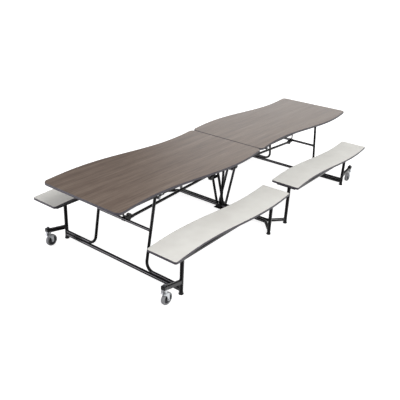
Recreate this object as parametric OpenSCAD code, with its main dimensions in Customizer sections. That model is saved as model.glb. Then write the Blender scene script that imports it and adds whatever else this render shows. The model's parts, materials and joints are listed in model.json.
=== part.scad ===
// Cafeteria folding table with benches: two decks and four benches that fold up
// about upright end frames on casters and an upright centre frame that lifts.
// X runs along the table, Y across it, Z up. The origin is on the floor below the
// middle of the seam. The near half lies at -X, and the far half is the near one
// turned half a turn about Z. Millimetres.

/* [Decks] */
// Height of the deck surface above the floor
table_h = 737; // [720:1:760]
// Length of one deck along the table
deck_l = 1829; // [1820:1:1850]
// Width of a deck, measured straight across
deck_w = 818; // [790:1:830]
// Thickness of a deck
deck_t = 19; // [18:1:25]
// Side to side sway of a deck's wavy outline
deck_wave = 43; // [20:1:45]
// Corner radius of a deck
deck_corner_r = 50; // [20:1:70]
// Gap between the two decks at the seam
seam_gap = 8; // [4:0.5:10]

/* [Benches] */
// Height of the bench surface above the floor
bench_h = 432; // [425:1:445]
// Length of one bench
bench_l = 1590; // [1578:1:1600]
// Width of a bench, measured straight across
bench_w = 283; // [270:1:290]
// Thickness of a bench board
bench_t = 19; // [18:1:22]
// Side to side sway of a bench's wavy outline
bench_wave = 25; // [10:1:26]
// Corner radius of a bench board
bench_corner_r = 20; // [15:1:50]
// Distance from the table's centre line to a bench's centre line
bench_y = 643; // [638:1:650]
// Gap between a bench's inner end and the seam plane
bench_start = 75; // [70:1:85]
// Overhang of a bench past its outer post
bench_over = 229; // [222:1:233]
// Depth of the bench pivots below a bench board
bench_pivot_drop = 41; // [39:0.5:44]

/* [End frames] */
// Distance from the seam plane to the inner posts
inner_post_x = 154; // [148:1:165]
// Distance from the centre line to every bench post
post_y = 655; // [650:1:660]
// Diameter of the bench posts
post_d = 32; // [30:0.5:34]
// Diameter of the cross tubes near the floor
base_d = 32; // [30:0.5:34]
// Height of the cross tubes near the floor, at their axis
base_z = 40; // [39:0.5:44]
// Diameter of the leg tubes and bars
leg_d = 25; // [22:0.5:26]
// Wall of every frame tube
tube_wall = 2; // [1.5:0.1:2.5]
// Height of a leg's foot run, at its axis
run_z = 70; // [69:1:95]
// Bend radius of a leg, at its axis
leg_bend_r = 76; // [60:1:90]
// Distance from the centre line to a leg's upright
leg_y = 292; // [285:1:296]
// Distance that a leg leans in by, from the end posts to the deck pivots
leg_reach = 101; // [95:1:106]
// Depth of the deck pivots below a deck
pivot_drop = 46; // [45:0.5:49]
// Height of the bar between the legs, at its axis
bar_z = 394; // [385:1:400]

/* [Centre frame] */
// Distance from the seam plane to the deck pivots on the centre frame
head_x = 223; // [215:1:230]
// Distance from the seam plane to each centre base tube, at its axis
centre_base_x = 17; // [17:0.5:20]
// Distance from the centre line to each slanted leg of the centre frame
slant_y = 38; // [34:1:45]
// Angle that the ends of a centre base tube are swept out by
sweep_angle = 49; // [45:1:52]
// Bend radius of a centre base tube, at its axis
sweep_r = 60; // [50:1:70]

/* [Linkage] */
// Distance of a link's pivot on the end frame behind the deck pivots
link_back = 5; // [3:1:9]
// Height of the link pivots
link_z = 392; // [388:1:396]
// Rise of a link's tube from its outer to its inner end
link_rise = 50; // [40:1:60]
// Diameter of the link and lug pins
link_pin_d = 12; // [10:0.5:13]
// Diameter of the bench pivot pins
bench_pin_d = 16; // [12:0.5:18]
// Swing of a lock lever from free to caught, in degrees
lock_swing = 3; // [2.8:0.1:3.2]
// Turn of every folding member from open to folded, in degrees
fold_turn = 80; // [78:0.5:80]

/* [Casters] */
// Wheel diameter
wheel_d = 102; // [98:1:104]
// Wheel width
wheel_w = 30; // [24:1:32]
// Distance from the end posts to the caster stems
caster_reach = 197; // [190:1:203]
// Distance that a wheel trails behind its stem
trail = 27; // [22:1:32]

/* [Hidden] */
$fn = 48;

// Colours
frame_black = "#1d1d1f";
laminate = "#7d736c";
seat_laminate = "#dad9d3";
band_black = "#35333a";
zinc = "#b4b7bb";
tyre_grey = "#8b8d91";
glide_black = "#141415";

// Sides of the near half, and clearances
left = 1;
right = -1;
fit_gap = 0.05;
rest_gap = 0.3;
side_gap = 0.5;
open_gap = 0.5;
cut_over = 1;

// Places along the table and heights that the driving sizes give
post_x = bench_start + bench_l - bench_over;
pivot_x = post_x - leg_reach;
pivot_z = table_h - deck_t - pivot_drop;
link_x = pivot_x - link_back;
bench_pivot_z = bench_h - bench_t - bench_pivot_drop;
stem_x = post_x + caster_reach;

// Boards
band_t = 3;
wave_steps = 32;
corner_steps = 6;
deck_end_x = deck_l + seam_gap / 2;
deck_low = table_h - deck_t;
bench_low = bench_h - bench_t;
bench_end_x = bench_start + bench_l;

// Rails and straps below the decks
rail_w = 26;
rail_h = 32;
rail_wall = 3;
rail_y = 325;
rail_in = rail_y - rail_w / 2;
rail_low = deck_low - rail_h;
rail_end_gap = 66;
rail_seam_gap = 73;
strap_w = 70;
strap_web_w = 38;
strap_h = 18;
strap_t = 2.5;
strap_end = 131;
strap_mid = 1050;
strap_seam = 112;
strap_places = [deck_end_x - strap_end, deck_end_x - strap_mid, strap_seam];
hanger_l = 70;
hanger_foot = 5;
hanger_r = 15;

// Pivot tubes that carry the decks
spigot_d = 20;
spigot_l = 20;
spigot_wall = 2.5;
pivot_side = 1;
pivot_half = rail_in - pivot_side;

// Distance between the two ends of every folding member, and the benches' frames
span = pivot_x - head_x;
bench_rail_w = 20;
bench_rail_h = 19;
bench_rail_y = 112;
bench_rail_out = 43;
bench_rail_in = 45;
cross_w = 60;
cross_t = 6;
ear_t = 6;
ear_r = 20;
sleeve_half = 35;
pin_head_t = 4;
pin_head_d = 22;
ear_y = sleeve_half + side_gap;
pin_half = ear_y + ear_t + side_gap + pin_head_t;
bench_fold_x = post_x - span;
post_cap = 8;
post_top = bench_pivot_z + post_cap;
rest_w = 100;
rest_side = 6;
rest_half = bench_rail_y - bench_rail_w / 2 - rest_side;
rest_t = 20;
rest_wall = 3;
arm_w = 26;

// Glides
glide_h = 22;
glide_d = 42;
glide_neck_d = 34;
glide_lip = 4;
plug_h = 30;

// Legs of the end frames
lean = atan((post_x - pivot_x) / (pivot_z - run_z));
leg_len = (pivot_z - run_z) / cos(lean);
bar_x = post_x - (bar_z - run_z) * tan(lean);

// Links, their lugs and the locks
link_in_x = link_x - span;
link_t = 12;
lug_gap = 2;
lug_t = 5;
lug_r = 16;
disc_r = 36;
lock_t = 8;
lock_half = 7;
lock_bulge = 18;
lock_sleeve_t = 5;
lock_sleeve_half = 12;
nose_h = 10;
nose_l = 22;
nose_rise = 24;
nose_z = link_z + nose_rise;
nose_free = 5;
notch_gap = 1.4;
notch_sink = 1.2;
notch_depth = (pivot_z - nose_z) * sin(lock_swing) - nose_free + 2 * notch_sink;
lock_steps = 16;
disc_edge_x = sqrt(disc_r * disc_r - (nose_z - link_z) * (nose_z - link_z));
nose_tip_x = link_x + disc_edge_x + nose_free;
link_tube_in = 30;
link_tube_out = 40;
link_tube_drop = 7;
tube_start_z = link_z - link_tube_drop;
slant_tan = (head_x - centre_base_x) / (pivot_z - base_z);
lug_root_x = centre_base_x + (link_z - base_z) * slant_tan;

// Centre frame: gap from a base tube's end to a post's axis, and the stop post
cope_back = 6;
plate_x = 55;
plate_y = 52;
plate_t = 6;
block_x = 44;
block_y = 22;
block_low = 20;
block_top = 62;
head_plate_x = 55;
head_plate_y = 150;

// Casters and their arms
caster_arm_w = 26;
caster_arm_h = 34;
caster_arm_z = 114;
caster_arm_rise = 36;
socket_w = 40;
socket_low = 126;
socket_top = 172;
stem_d = 12;
stem_low = 104;
stem_head_d = 20;
stem_head_t = 4;
nut_w = 20;
nut_t = 10;
crown_low = 109;
crown_t = 3;
race_d = 46;
race_t = 13;
fork_t = 3;
fork_gap = 3;
fork_half_w = 23;
axle_d = 10;
axle_head_d = 17;
axle_head_t = 5;
axle_pad_r = 12;
hub_d = 76;
hub_boss_d = 26;
hub_web_t = 8;
hub_rim_t = 5;
tread_round = 6;

// Side to side place of a wavy board's middle, at a share of its length
function wave(amp, share) = amp * sin(360 * share);

// A rounded rectangle's corner points, as [x, y] from one end of a board
function corner_pts(cx, cy, r, start) =
    [for (i = [0 : corner_steps]) let (a = start + 90 * i / corner_steps)
        [cx + r * cos(a), cy + r * sin(a)]];
function side_pts(x0, x1, y) =
    [for (i = [1 : wave_steps - 1]) [x0 + (x1 - x0) * i / wave_steps, y]];

// The board's outline, drawn in by d: a rounded rectangle whose points sway
// across the board as a sine of their place along it
function board_pts(l, w, r, amp, d) =
    let (h = w / 2 - d, rr = r - d)
    let (flat = concat(
        corner_pts(d + rr, -h + rr, rr, 180),
        side_pts(d + rr, l - d - rr, -h),
        corner_pts(l - d - rr, -h + rr, rr, 270),
        corner_pts(l - d - rr, h - rr, rr, 0),
        side_pts(l - d - rr, d + rr, h),
        corner_pts(d + rr, h - rr, rr, 90)))
    [for (p = flat) [p[0], p[1] + wave(amp, p[0] / l)]];

// Turns a near piece into the far one
module turned() rotate([0, 0, 180]) children();

// A solid or hollow round bar along Y, centred on the line y = 0
module bar_y(d, half) rotate([90, 0, 0]) cylinder(d = d, h = 2 * half, center = true);
module tube_y(d, half) difference() {
    bar_y(d, half);
    bar_y(d - 2 * tube_wall, half + cut_over);
}
module tube_z(d, l) difference() {
    cylinder(d = d, h = l);
    translate([0, 0, -cut_over]) cylinder(d = d - 2 * tube_wall, h = l + 2 * cut_over);
}

// A rectangular tube along X with open ends
module box_tube(l, w, h) difference() {
    cube([l, w, h]);
    translate([-cut_over, tube_wall, tube_wall])
        cube([l + 2 * cut_over, w - 2 * tube_wall, h - 2 * tube_wall]);
}

// A plate in the XZ plane, centred on y = 0, from a flat shape
module plate_xz(t) rotate([90, 0, 0]) linear_extrude(height = t, center = true) children();

// A flat bar's outline between two round ends
module bar_2d(p, q, rp, rq) {
    dir = (q - p) / norm(q - p);
    n = [-dir[1], dir[0]];
    translate(p) circle(r = rp);
    translate(q) circle(r = rq);
    polygon([p + n * rp, q + n * rq, q - n * rq, p - n * rp]);
}

// Boards and their edge bands
module board(l, w, t, r, amp) linear_extrude(height = t)
    polygon(board_pts(l, w, r, amp, band_t));
module board_band(l, w, t, r, amp) linear_extrude(height = t) difference() {
    polygon(board_pts(l, w, r, amp, 0));
    polygon(board_pts(l, w, r, amp, band_t));
}
module at_deck() translate([-deck_end_x, 0, deck_low]) children();
module at_bench(side) translate([-bench_end_x, side * bench_y, bench_low]) children();
module deck_board() at_deck() board(deck_l, deck_w, deck_t, deck_corner_r, deck_wave);
module deck_edge() at_deck() board_band(deck_l, deck_w, deck_t, deck_corner_r, deck_wave);
module bench_board(side) at_bench(side)
    board(bench_l, bench_w, bench_t, bench_corner_r, bench_wave);
module bench_edge(side) at_bench(side)
    board_band(bench_l, bench_w, bench_t, bench_corner_r, bench_wave);

// Channel rails below a deck, open towards the middle
module rails() for (side = [left, right])
    translate([-deck_end_x + rail_end_gap, side * rail_y, rail_low])
    rail_channel(deck_end_x - rail_end_gap - rail_seam_gap, side);
module rail_channel(l, side) difference() {
    translate([0, -rail_w / 2, 0]) cube([l, rail_w, rail_h]);
    translate([-cut_over, -rail_w / 2 - side * rail_wall, rail_wall])
        cube([l + 2 * cut_over, rail_w, rail_h - 2 * rail_wall]);
}

// Hat-section straps that join the rails below a deck, their flanges against the board
module straps() for (x = strap_places)
    translate([-x, 0, deck_low]) plate_xz(2 * rail_in) difference() {
        union() {
            translate([-strap_w / 2, -strap_t]) square([strap_w, strap_t]);
            translate([-strap_web_w / 2, -strap_h]) square([strap_web_w, strap_h]);
        }
        translate([-strap_web_w / 2 + strap_t, -strap_h + strap_t])
            square([strap_web_w - 2 * strap_t, strap_h]);
    }

// Bearing blocks below the rails: a round boss on each pivot spigot, under a long foot
module hanger_2d() intersection() {
    union() {
        circle(r = hanger_r);
        translate([-hanger_r, 0]) square([2 * hanger_r, rail_low - pivot_z]);
        translate([-hanger_l / 2, rail_low - pivot_z - hanger_foot])
            square([hanger_l, hanger_foot]);
    }
    translate([-hanger_l / 2, -hanger_r]) square([hanger_l, rail_low - pivot_z + hanger_r]);
}
module hangers() for (side = [left, right], x = [pivot_x, head_x])
    translate([-x, side * rail_y, pivot_z]) difference() {
        plate_xz(rail_w) hanger_2d();
        bar_y(spigot_d + 2 * fit_gap, rail_w);
    }

// A thick tube across the table, turned down at each end for a rail's bearing block
module pivot_tube() difference() {
    union() {
        bar_y(leg_d, pivot_half);
        bar_y(spigot_d, pivot_half + spigot_l);
    }
    bar_y(spigot_d - 2 * spigot_wall, pivot_half + spigot_l + cut_over);
}

// The bent leg: a foot run, a bend and a leaning upright
module leg_plane() translate([-post_x, 0, run_z]) rotate([0, lean, 0]) children();
module leg_path(side, d, over) leg_plane() {
    bend_y = leg_y + leg_bend_r;
    translate([0, side * leg_y, leg_bend_r]) cylinder(d = d, h = leg_len - leg_bend_r + over);
    translate([0, side * bend_y, leg_bend_r])
        rotate([0, 90, 0]) rotate([0, 0, side > 0 ? -90 : 0])
        rotate_extrude(angle = 90) translate([leg_bend_r, 0]) circle(d = d);
    translate([0, side * (bend_y + (post_y - bend_y + over) / 2), 0])
        bar_y(d, (post_y - bend_y + over) / 2);
}
module leg(side) difference() {
    leg_path(side, leg_d, 0);
    leg_path(side, leg_d - 2 * tube_wall, cut_over);
    translate([-pivot_x, 0, pivot_z]) bar_y(leg_d, leg_y + leg_d);
    translate([-post_x, side * post_y, 0]) cylinder(d = post_d, h = post_top);
}

// Pivot tube, bar with the link's lugs, and the base tube of an end frame
module cross_tubes() {
    translate([-pivot_x, 0, pivot_z]) pivot_tube();
    difference() {
        translate([-bar_x, 0, bar_z]) tube_y(leg_d, leg_y);
        for (side = [left, right])
            leg_plane() translate([0, side * leg_y, 0]) cylinder(d = leg_d, h = leg_len);
    }
    lug_pair([-bar_x, bar_z], [-link_x, link_z], leg_d);
    difference() {
        translate([-post_x, 0, base_z]) tube_y(base_d, post_y);
        for (side = [left, right])
            translate([-post_x, side * post_y, 0]) cylinder(d = post_d, h = post_top);
    }
}

// Two lug plates from a bar to a pin across them
module lug_pair(root, pin, root_d) {
    for (side = [left, right])
        translate([0, side * (link_t / 2 + lug_gap + lug_t / 2), 0]) difference() {
            plate_xz(lug_t) bar_2d(root, pin, lug_r, lug_r);
            translate([root[0], 0, root[1]]) bar_y(root_d - tube_wall, lug_t);
        }
    translate([pin[0], 0, pin[1]]) bar_y(link_pin_d, link_t / 2 + lug_gap + lug_t + tube_wall);
}

// A bench pivot: a sleeve with a headed pin that sticks out of both ends
module bench_pivot() {
    bar_y(leg_d, sleeve_half);
    bar_y(bench_pin_d, pin_half);
    for (side = [left, right])
        translate([0, side * (pin_half - pin_head_t / 2), 0]) bar_y(pin_head_d, pin_head_t / 2);
}

// Bench posts of an end frame
module end_posts() for (side = [left, right]) {
    translate([-post_x, side * post_y, glide_h]) tube_z(post_d, post_top - glide_h);
    translate([-post_x, side * post_y, bench_pivot_z]) bench_pivot();
}

// Glide feet: a flared foot with a plug up inside the post
module glide() rotate_extrude() polygon([
    [0, 0], [glide_d / 2 - glide_lip, 0], [glide_d / 2, glide_lip],
    [glide_d / 2, 2 * glide_lip], [glide_neck_d / 2, glide_h],
    [post_d / 2 - tube_wall - rest_gap, glide_h],
    [post_d / 2 - tube_wall - rest_gap, glide_h + plug_h], [0, glide_h + plug_h]]);
module end_glides() for (side = [left, right])
    translate([-post_x, side * post_y, 0]) glide();

// Arms that carry the casters, with an upright socket at the outer end
module arm_2d(half) polygon([
    [-post_x, caster_arm_z - half], [-post_x, caster_arm_z + half],
    [-stem_x, caster_arm_z + caster_arm_rise + half],
    [-stem_x, caster_arm_z + caster_arm_rise - half]]);
module caster_arms() for (side = [left, right]) translate([0, side * post_y, 0]) difference() {
    union() {
        difference() {
            plate_xz(caster_arm_w) arm_2d(caster_arm_h / 2);
            plate_xz(caster_arm_w - 2 * tube_wall) arm_2d(caster_arm_h / 2 - tube_wall);
        }
        translate([-stem_x - socket_w / 2, -socket_w / 2, socket_low])
            cube([socket_w, socket_w, socket_top - socket_low]);
    }
    translate([-post_x, 0, 0]) cylinder(d = post_d, h = post_top);
    translate([-stem_x, 0, 0]) cylinder(d = stem_d, h = post_top);
}

// Caster stems: bolt, nut on top and the fixed half of the swivel race
module caster_stems() for (side = [left, right]) translate([-stem_x, side * post_y, 0]) {
    translate([0, 0, stem_low]) cylinder(d = stem_head_d, h = stem_head_t);
    translate([0, 0, stem_low]) cylinder(d = stem_d, h = socket_top + nut_t + nut_t / 2 - stem_low);
    translate([0, 0, socket_top]) cylinder(d = nut_w, h = nut_t, $fn = 6);
    translate([0, 0, socket_low - race_t / 2 + rest_gap])
        cylinder(d = race_d, h = race_t / 2 - rest_gap);
}

// A swivel fork with its axle
module fork(side) translate([-stem_x, side * post_y, 0]) {
    difference() {
        union() {
            translate([0, 0, crown_low + crown_t])
                cylinder(d = race_d, h = socket_low - race_t / 2 - crown_low - crown_t);
            translate([-fork_half_w, -wheel_w / 2 - fork_gap - fork_t, crown_low])
                cube([2 * fork_half_w, wheel_w + 2 * fork_gap + 2 * fork_t, crown_t]);
            for (s = [left, right])
                translate([0, s * (wheel_w / 2 + fork_gap + fork_t / 2), 0])
                plate_xz(fork_t) fork_side_2d();
        }
        cylinder(d = stem_d + 2 * fit_gap, h = post_top);
    }
    translate([trail, 0, wheel_d / 2]) {
        bar_y(axle_d, wheel_w / 2 + fork_gap + fork_t + axle_head_t);
        for (s = [left, right])
            translate([0, s * (wheel_w / 2 + fork_gap + fork_t + axle_head_t / 2), 0])
            rotate([90, 0, 0]) cylinder(d = axle_head_d, h = axle_head_t, center = true, $fn = 6);
    }
}
module fork_side_2d() {
    translate([trail, wheel_d / 2]) circle(r = axle_pad_r);
    polygon([
        [-fork_half_w, crown_low + crown_t], [fork_half_w, crown_low + crown_t],
        [fork_half_w + trail / 2, crown_low - race_t],
        [trail + axle_pad_r, wheel_d / 2], [trail - axle_pad_r, wheel_d / 2],
        [-fork_half_w, crown_low - race_t / 2]]);
}

// A wheel's hub and its tyre
module at_wheel(side) translate([trail - stem_x, side * post_y, wheel_d / 2])
    rotate([90, 0, 0]) children();
module wheel(side) at_wheel(side) rotate_extrude() polygon([
    [axle_d / 2 + fit_gap, -wheel_w / 2], [hub_boss_d / 2, -wheel_w / 2],
    [hub_boss_d / 2, -hub_web_t / 2], [hub_d / 2 - hub_rim_t, -hub_web_t / 2],
    [hub_d / 2 - hub_rim_t, -wheel_w / 2 + hub_rim_t], [hub_d / 2, -wheel_w / 2 + hub_rim_t],
    [hub_d / 2, wheel_w / 2 - hub_rim_t], [hub_d / 2 - hub_rim_t, wheel_w / 2 - hub_rim_t],
    [hub_d / 2 - hub_rim_t, hub_web_t / 2], [hub_boss_d / 2, hub_web_t / 2],
    [hub_boss_d / 2, wheel_w / 2], [axle_d / 2 + fit_gap, wheel_w / 2]]);
module tyre(side) at_wheel(side) rotate_extrude() intersection() {
    translate([hub_d / 2, -wheel_w / 2]) square([(wheel_d - hub_d) / 2, wheel_w]);
    union() {
        translate([hub_d / 2, -wheel_w / 2]) square([(wheel_d - hub_d) / 2 - tread_round, wheel_w]);
        translate([hub_d / 2, -wheel_w / 2 + tread_round])
            square([(wheel_d - hub_d) / 2, wheel_w - 2 * tread_round]);
        for (s = [left, right])
            translate([wheel_d / 2 - tread_round, s * (wheel_w / 2 - tread_round)])
            circle(r = tread_round);
    }
}

// A link: disc with a notch for each end of the fold, tube and the inner end's plate.
// The nose sinks while it swings in, so a notch lies a little low.
module notch_2d() translate([-disc_edge_x - nose_free,
    nose_rise - notch_sink - nose_h / 2 - notch_gap])
    square([nose_free + notch_depth, nose_h + 2 * notch_gap]);
module link() {
    tube_a = [-link_x + link_tube_in, tube_start_z];
    tube_b = [-link_in_x - link_tube_out, tube_start_z + link_rise];
    tilt = atan2(tube_b[1] - tube_a[1], tube_b[0] - tube_a[0]);
    plate_xz(link_t) difference() {
        union() {
            translate([-link_x, link_z]) circle(r = disc_r);
            bar_2d([-link_x, link_z], tube_a + [leg_d, 0], lug_r, lug_r - lug_gap);
        }
        translate([-link_x, link_z]) {
            circle(d = link_pin_d + 2 * fit_gap);
            notch_2d();
            rotate(-fold_turn) notch_2d();
        }
    }
    translate([tube_a[0], 0, tube_a[1]]) rotate([0, 90 - tilt, 0])
        tube_z(leg_d, norm(tube_b - tube_a));
    difference() {
        plate_xz(link_t) bar_2d(tube_b, [-link_in_x, link_z], leg_d / 2, lug_r);
        translate([-link_in_x, 0, link_z]) bar_y(link_pin_d + 2 * open_gap, link_t);
    }
}

// A lock lever that hangs on the deck pivot tube, its nose ready for the notch
module lock() {
    top = [-pivot_x, pivot_z - leg_d / 2 - lock_sleeve_t / 2];
    low = [-nose_tip_x - nose_l, nose_z];
    n = [top[1] - low[1], low[0] - top[0]] / norm(top - low);
    mid = [for (i = [0 : lock_steps]) let (s = i / lock_steps)
        top + (low - top) * s - n * lock_bulge * 4 * s * (1 - s)];
    difference() {
        union() {
            translate([-pivot_x, 0, pivot_z])
                bar_y(leg_d + 2 * fit_gap + 2 * lock_sleeve_t, lock_sleeve_half);
            plate_xz(lock_t) {
                polygon(concat([for (p = mid) p + n * lock_half],
                    [for (i = [0 : lock_steps]) mid[lock_steps - i] - n * lock_half]));
                translate([low[0], nose_z - nose_h / 2]) square([nose_l, nose_h]);
                translate(low + [0, lock_half - nose_h / 2]) circle(r = lock_half);
            }
        }
        translate([-pivot_x, 0, pivot_z]) bar_y(leg_d + 2 * fit_gap, lock_sleeve_half + cut_over);
    }
}

// Rails, cross plates and ears below a bench
module bench_frame(side) {
    for (s = [left, right])
        translate([-bench_end_x + bench_rail_out,
            side * bench_y + s * bench_rail_y - bench_rail_w / 2, bench_low - bench_rail_h])
        box_tube(bench_l - bench_rail_out - bench_rail_in, bench_rail_w, bench_rail_h);
    bench_bracket(side, post_x, fit_gap);
    bench_bracket(side, bench_fold_x, open_gap);
}
module bench_bracket(side, x, gap) {
    translate([-x - cross_w / 2, side * bench_y - bench_rail_y + bench_rail_w / 2,
        bench_low - cross_t])
        cube([cross_w, 2 * bench_rail_y - bench_rail_w, cross_t]);
    for (s = [left, right])
        translate([-x, side * post_y + s * (ear_y + ear_t / 2), 0]) difference() {
            plate_xz(ear_t) {
                translate([0, bench_pivot_z]) circle(r = ear_r);
                translate([-ear_r, bench_pivot_z])
                    square([2 * ear_r, bench_low - cross_t - bench_pivot_z]);
            }
            translate([0, 0, bench_pivot_z]) bar_y(bench_pin_d + 2 * gap, ear_t);
        }
}

// A centre base tube: straight across, with both ends swept out to the posts
module sweep_end(d, over) {
    corner = post_y - (inner_post_x - centre_base_x) / tan(sweep_angle);
    tangent = sweep_r * tan(sweep_angle / 2);
    arm = (inner_post_x - centre_base_x) / sin(sweep_angle) - tangent - cope_back;
    translate([-centre_base_x, corner - tangent, base_z]) {
        rotate([90, 0, 0]) cylinder(d = d, h = corner - tangent);
        translate([-sweep_r, 0, 0]) {
            rotate_extrude(angle = sweep_angle) translate([sweep_r, 0]) circle(d = d);
            rotate([0, 0, sweep_angle]) translate([sweep_r, 0, 0])
                rotate([-90, 0, 0]) cylinder(d = d, h = arm + over);
        }
    }
}
module base_path(d, over) {
    sweep_end(d, over);
    mirror([0, 1, 0]) sweep_end(d, over);
}
module base_sweep() difference() {
    base_path(base_d, 0);
    base_path(base_d - 2 * tube_wall, post_d);
    for (side = [left, right])
        translate([-inner_post_x, side * post_y, 0]) cylinder(d = post_d, h = post_top);
}
module base_tubes() {
    base_sweep();
    turned() base_sweep();
}

// The four inner posts, their glides and the arms with the benches' inner pivots
module at_inner_posts() for (x = [-inner_post_x, inner_post_x], y = [-post_y, post_y])
    translate([x, y, 0]) children();
module inner_posts() at_inner_posts()
    translate([0, 0, glide_h]) tube_z(post_d, bench_low - rest_gap - rest_wall - glide_h);
module inner_glides() at_inner_posts() glide();
module bench_arm(side) {
    reach = bench_fold_x - inner_post_x;
    difference() {
        translate([-bench_fold_x, side * post_y - arm_w / 2, bench_pivot_z - leg_d / 2])
            box_tube(reach, arm_w, leg_d);
        translate([-inner_post_x, side * post_y, 0]) cylinder(d = post_d, h = table_h);
    }
    translate([-bench_fold_x, side * post_y, bench_pivot_z]) bench_pivot();
    translate([-inner_post_x, side * bench_y, bench_low - rest_gap]) rest_tray();
}
module rest_tray() difference() {
    translate([-rest_w / 2, -rest_half, -rest_t]) cube([rest_w, 2 * rest_half, rest_t]);
    translate([-rest_w / 2 + rest_wall, -rest_half + rest_wall, -rest_t - rest_wall])
        cube([rest_w - 2 * rest_wall, 2 * (rest_half - rest_wall), rest_t]);
}
module bench_arms() for (side = [left, right]) {
    bench_arm(side);
    turned() bench_arm(side);
}

// Slanted legs of the centre frame, in pairs, with the link's inner lugs
module slant_pair() {
    tilt = atan(slant_tan);
    difference() {
        for (side = [left, right])
            translate([-centre_base_x, side * slant_y, base_z]) rotate([0, -tilt, 0])
            tube_z(leg_d, (pivot_z - base_z) / cos(tilt));
        translate([-head_x, 0, pivot_z]) bar_y(leg_d, leg_y);
        translate([-centre_base_x, 0, base_z]) bar_y(base_d, leg_y);
        translate([centre_base_x, 0, base_z]) bar_y(base_d, leg_y);
    }
    translate([-lug_root_x, 0, link_z]) tube_y(spigot_d, slant_y - leg_d / 2 + tube_wall);
    lug_pair([-lug_root_x, link_z], [-link_in_x, link_z], spigot_d);
}
module slant_legs() {
    slant_pair();
    turned() slant_pair();
}
module head_tubes() for (x = [-head_x, head_x])
    translate([x, 0, pivot_z]) pivot_tube();

// Post below the seam, with the plate that the decks' inner ends rest on
module stop_post() {
    difference() {
        union() {
            translate([-block_x, -block_y, block_low])
                cube([2 * block_x, 2 * block_y, block_top - block_low]);
            translate([-plate_x, -plate_y, block_low - plate_t])
                cube([2 * plate_x, 2 * plate_y, plate_t]);
        }
        for (x = [-centre_base_x, centre_base_x])
            translate([x, 0, base_z]) bar_y(base_d, plate_y + cut_over);
    }
    translate([0, 0, block_top])
        tube_z(leg_d, deck_low - rest_gap - plate_t - block_top);
    translate([-head_plate_x, -head_plate_y, deck_low - rest_gap - plate_t])
        cube([2 * head_plate_x, 2 * head_plate_y, plate_t]);
}

// Near end frame
module near_left_leg() color(frame_black) leg(left);
module near_right_leg() color(frame_black) leg(right);
module near_cross_tubes() color(frame_black) cross_tubes();
module near_posts() color(frame_black) end_posts();
module near_caster_arms() color(frame_black) caster_arms();
module near_caster_stems() color(zinc) caster_stems();
module near_glides() color(glide_black) end_glides();

// Far end frame, whose left is the near half's right after the half turn
module far_left_leg() color(frame_black) turned() leg(right);
module far_right_leg() color(frame_black) turned() leg(left);
module far_cross_tubes() color(frame_black) turned() cross_tubes();
module far_posts() color(frame_black) turned() end_posts();
module far_caster_arms() color(frame_black) turned() caster_arms();
module far_caster_stems() color(zinc) turned() caster_stems();
module far_glides() color(glide_black) turned() end_glides();

// Decks
module near_deck() color(laminate) deck_board();
module near_deck_band() color(band_black) deck_edge();
module near_rails() color(frame_black) rails();
module near_straps() color(frame_black) straps();
module near_hangers() color(glide_black) hangers();
module far_deck() color(laminate) turned() deck_board();
module far_deck_band() color(band_black) turned() deck_edge();
module far_rails() color(frame_black) turned() rails();
module far_straps() color(frame_black) turned() straps();
module far_hangers() color(glide_black) turned() hangers();

// Centre frame
module centre_base_tubes() color(frame_black) base_tubes();
module centre_posts() color(frame_black) inner_posts();
module centre_bench_arms() color(frame_black) bench_arms();
module centre_glides() color(glide_black) inner_glides();
module centre_slant_legs() color(frame_black) slant_legs();
module centre_head_tubes() color(frame_black) head_tubes();
module centre_stop_post() color(frame_black) stop_post();

// Links and locks
module near_link() color(frame_black) link();
module far_link() color(frame_black) turned() link();
module near_lock() color(frame_black) lock();
module far_lock() color(frame_black) turned() lock();

// Benches
module near_left_bench() color(seat_laminate) bench_board(left);
module near_left_bench_band() color(band_black) bench_edge(left);
module near_left_bench_frame() color(frame_black) bench_frame(left);
module near_right_bench() color(seat_laminate) bench_board(right);
module near_right_bench_band() color(band_black) bench_edge(right);
module near_right_bench_frame() color(frame_black) bench_frame(right);
module far_left_bench() color(seat_laminate) turned() bench_board(right);
module far_left_bench_band() color(band_black) turned() bench_edge(right);
module far_left_bench_frame() color(frame_black) turned() bench_frame(right);
module far_right_bench() color(seat_laminate) turned() bench_board(left);
module far_right_bench_band() color(band_black) turned() bench_edge(left);
module far_right_bench_frame() color(frame_black) turned() bench_frame(left);

// Casters
module near_left_fork() color(zinc) fork(left);
module near_left_wheel() color(tyre_grey) wheel(left);
module near_left_tyre() color(tyre_grey) tyre(left);
module near_right_fork() color(zinc) fork(right);
module near_right_wheel() color(tyre_grey) wheel(right);
module near_right_tyre() color(tyre_grey) tyre(right);
module far_left_fork() color(zinc) turned() fork(right);
module far_left_wheel() color(tyre_grey) turned() wheel(right);
module far_left_tyre() color(tyre_grey) turned() tyre(right);
module far_right_fork() color(zinc) turned() fork(left);
module far_right_wheel() color(tyre_grey) turned() wheel(left);
module far_right_tyre() color(tyre_grey) turned() tyre(left);

near_left_leg();
near_right_leg();
near_cross_tubes();
near_posts();
near_caster_arms();
near_caster_stems();
near_glides();
far_left_leg();
far_right_leg();
far_cross_tubes();
far_posts();
far_caster_arms();
far_caster_stems();
far_glides();
near_deck();
near_deck_band();
near_rails();
near_straps();
near_hangers();
far_deck();
far_deck_band();
far_rails();
far_straps();
far_hangers();
centre_base_tubes();
centre_posts();
centre_bench_arms();
centre_glides();
centre_slant_legs();
centre_head_tubes();
centre_stop_post();
near_link();
far_link();
near_lock();
far_lock();
near_left_bench();
near_left_bench_band();
near_left_bench_frame();
near_right_bench();
near_right_bench_band();
near_right_bench_frame();
far_left_bench();
far_left_bench_band();
far_left_bench_frame();
far_right_bench();
far_right_bench_band();
far_right_bench_frame();
near_left_fork();
near_left_wheel();
near_left_tyre();
near_right_fork();
near_right_wheel();
near_right_tyre();
far_left_fork();
far_left_wheel();
far_left_tyre();
far_right_fork();
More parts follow.
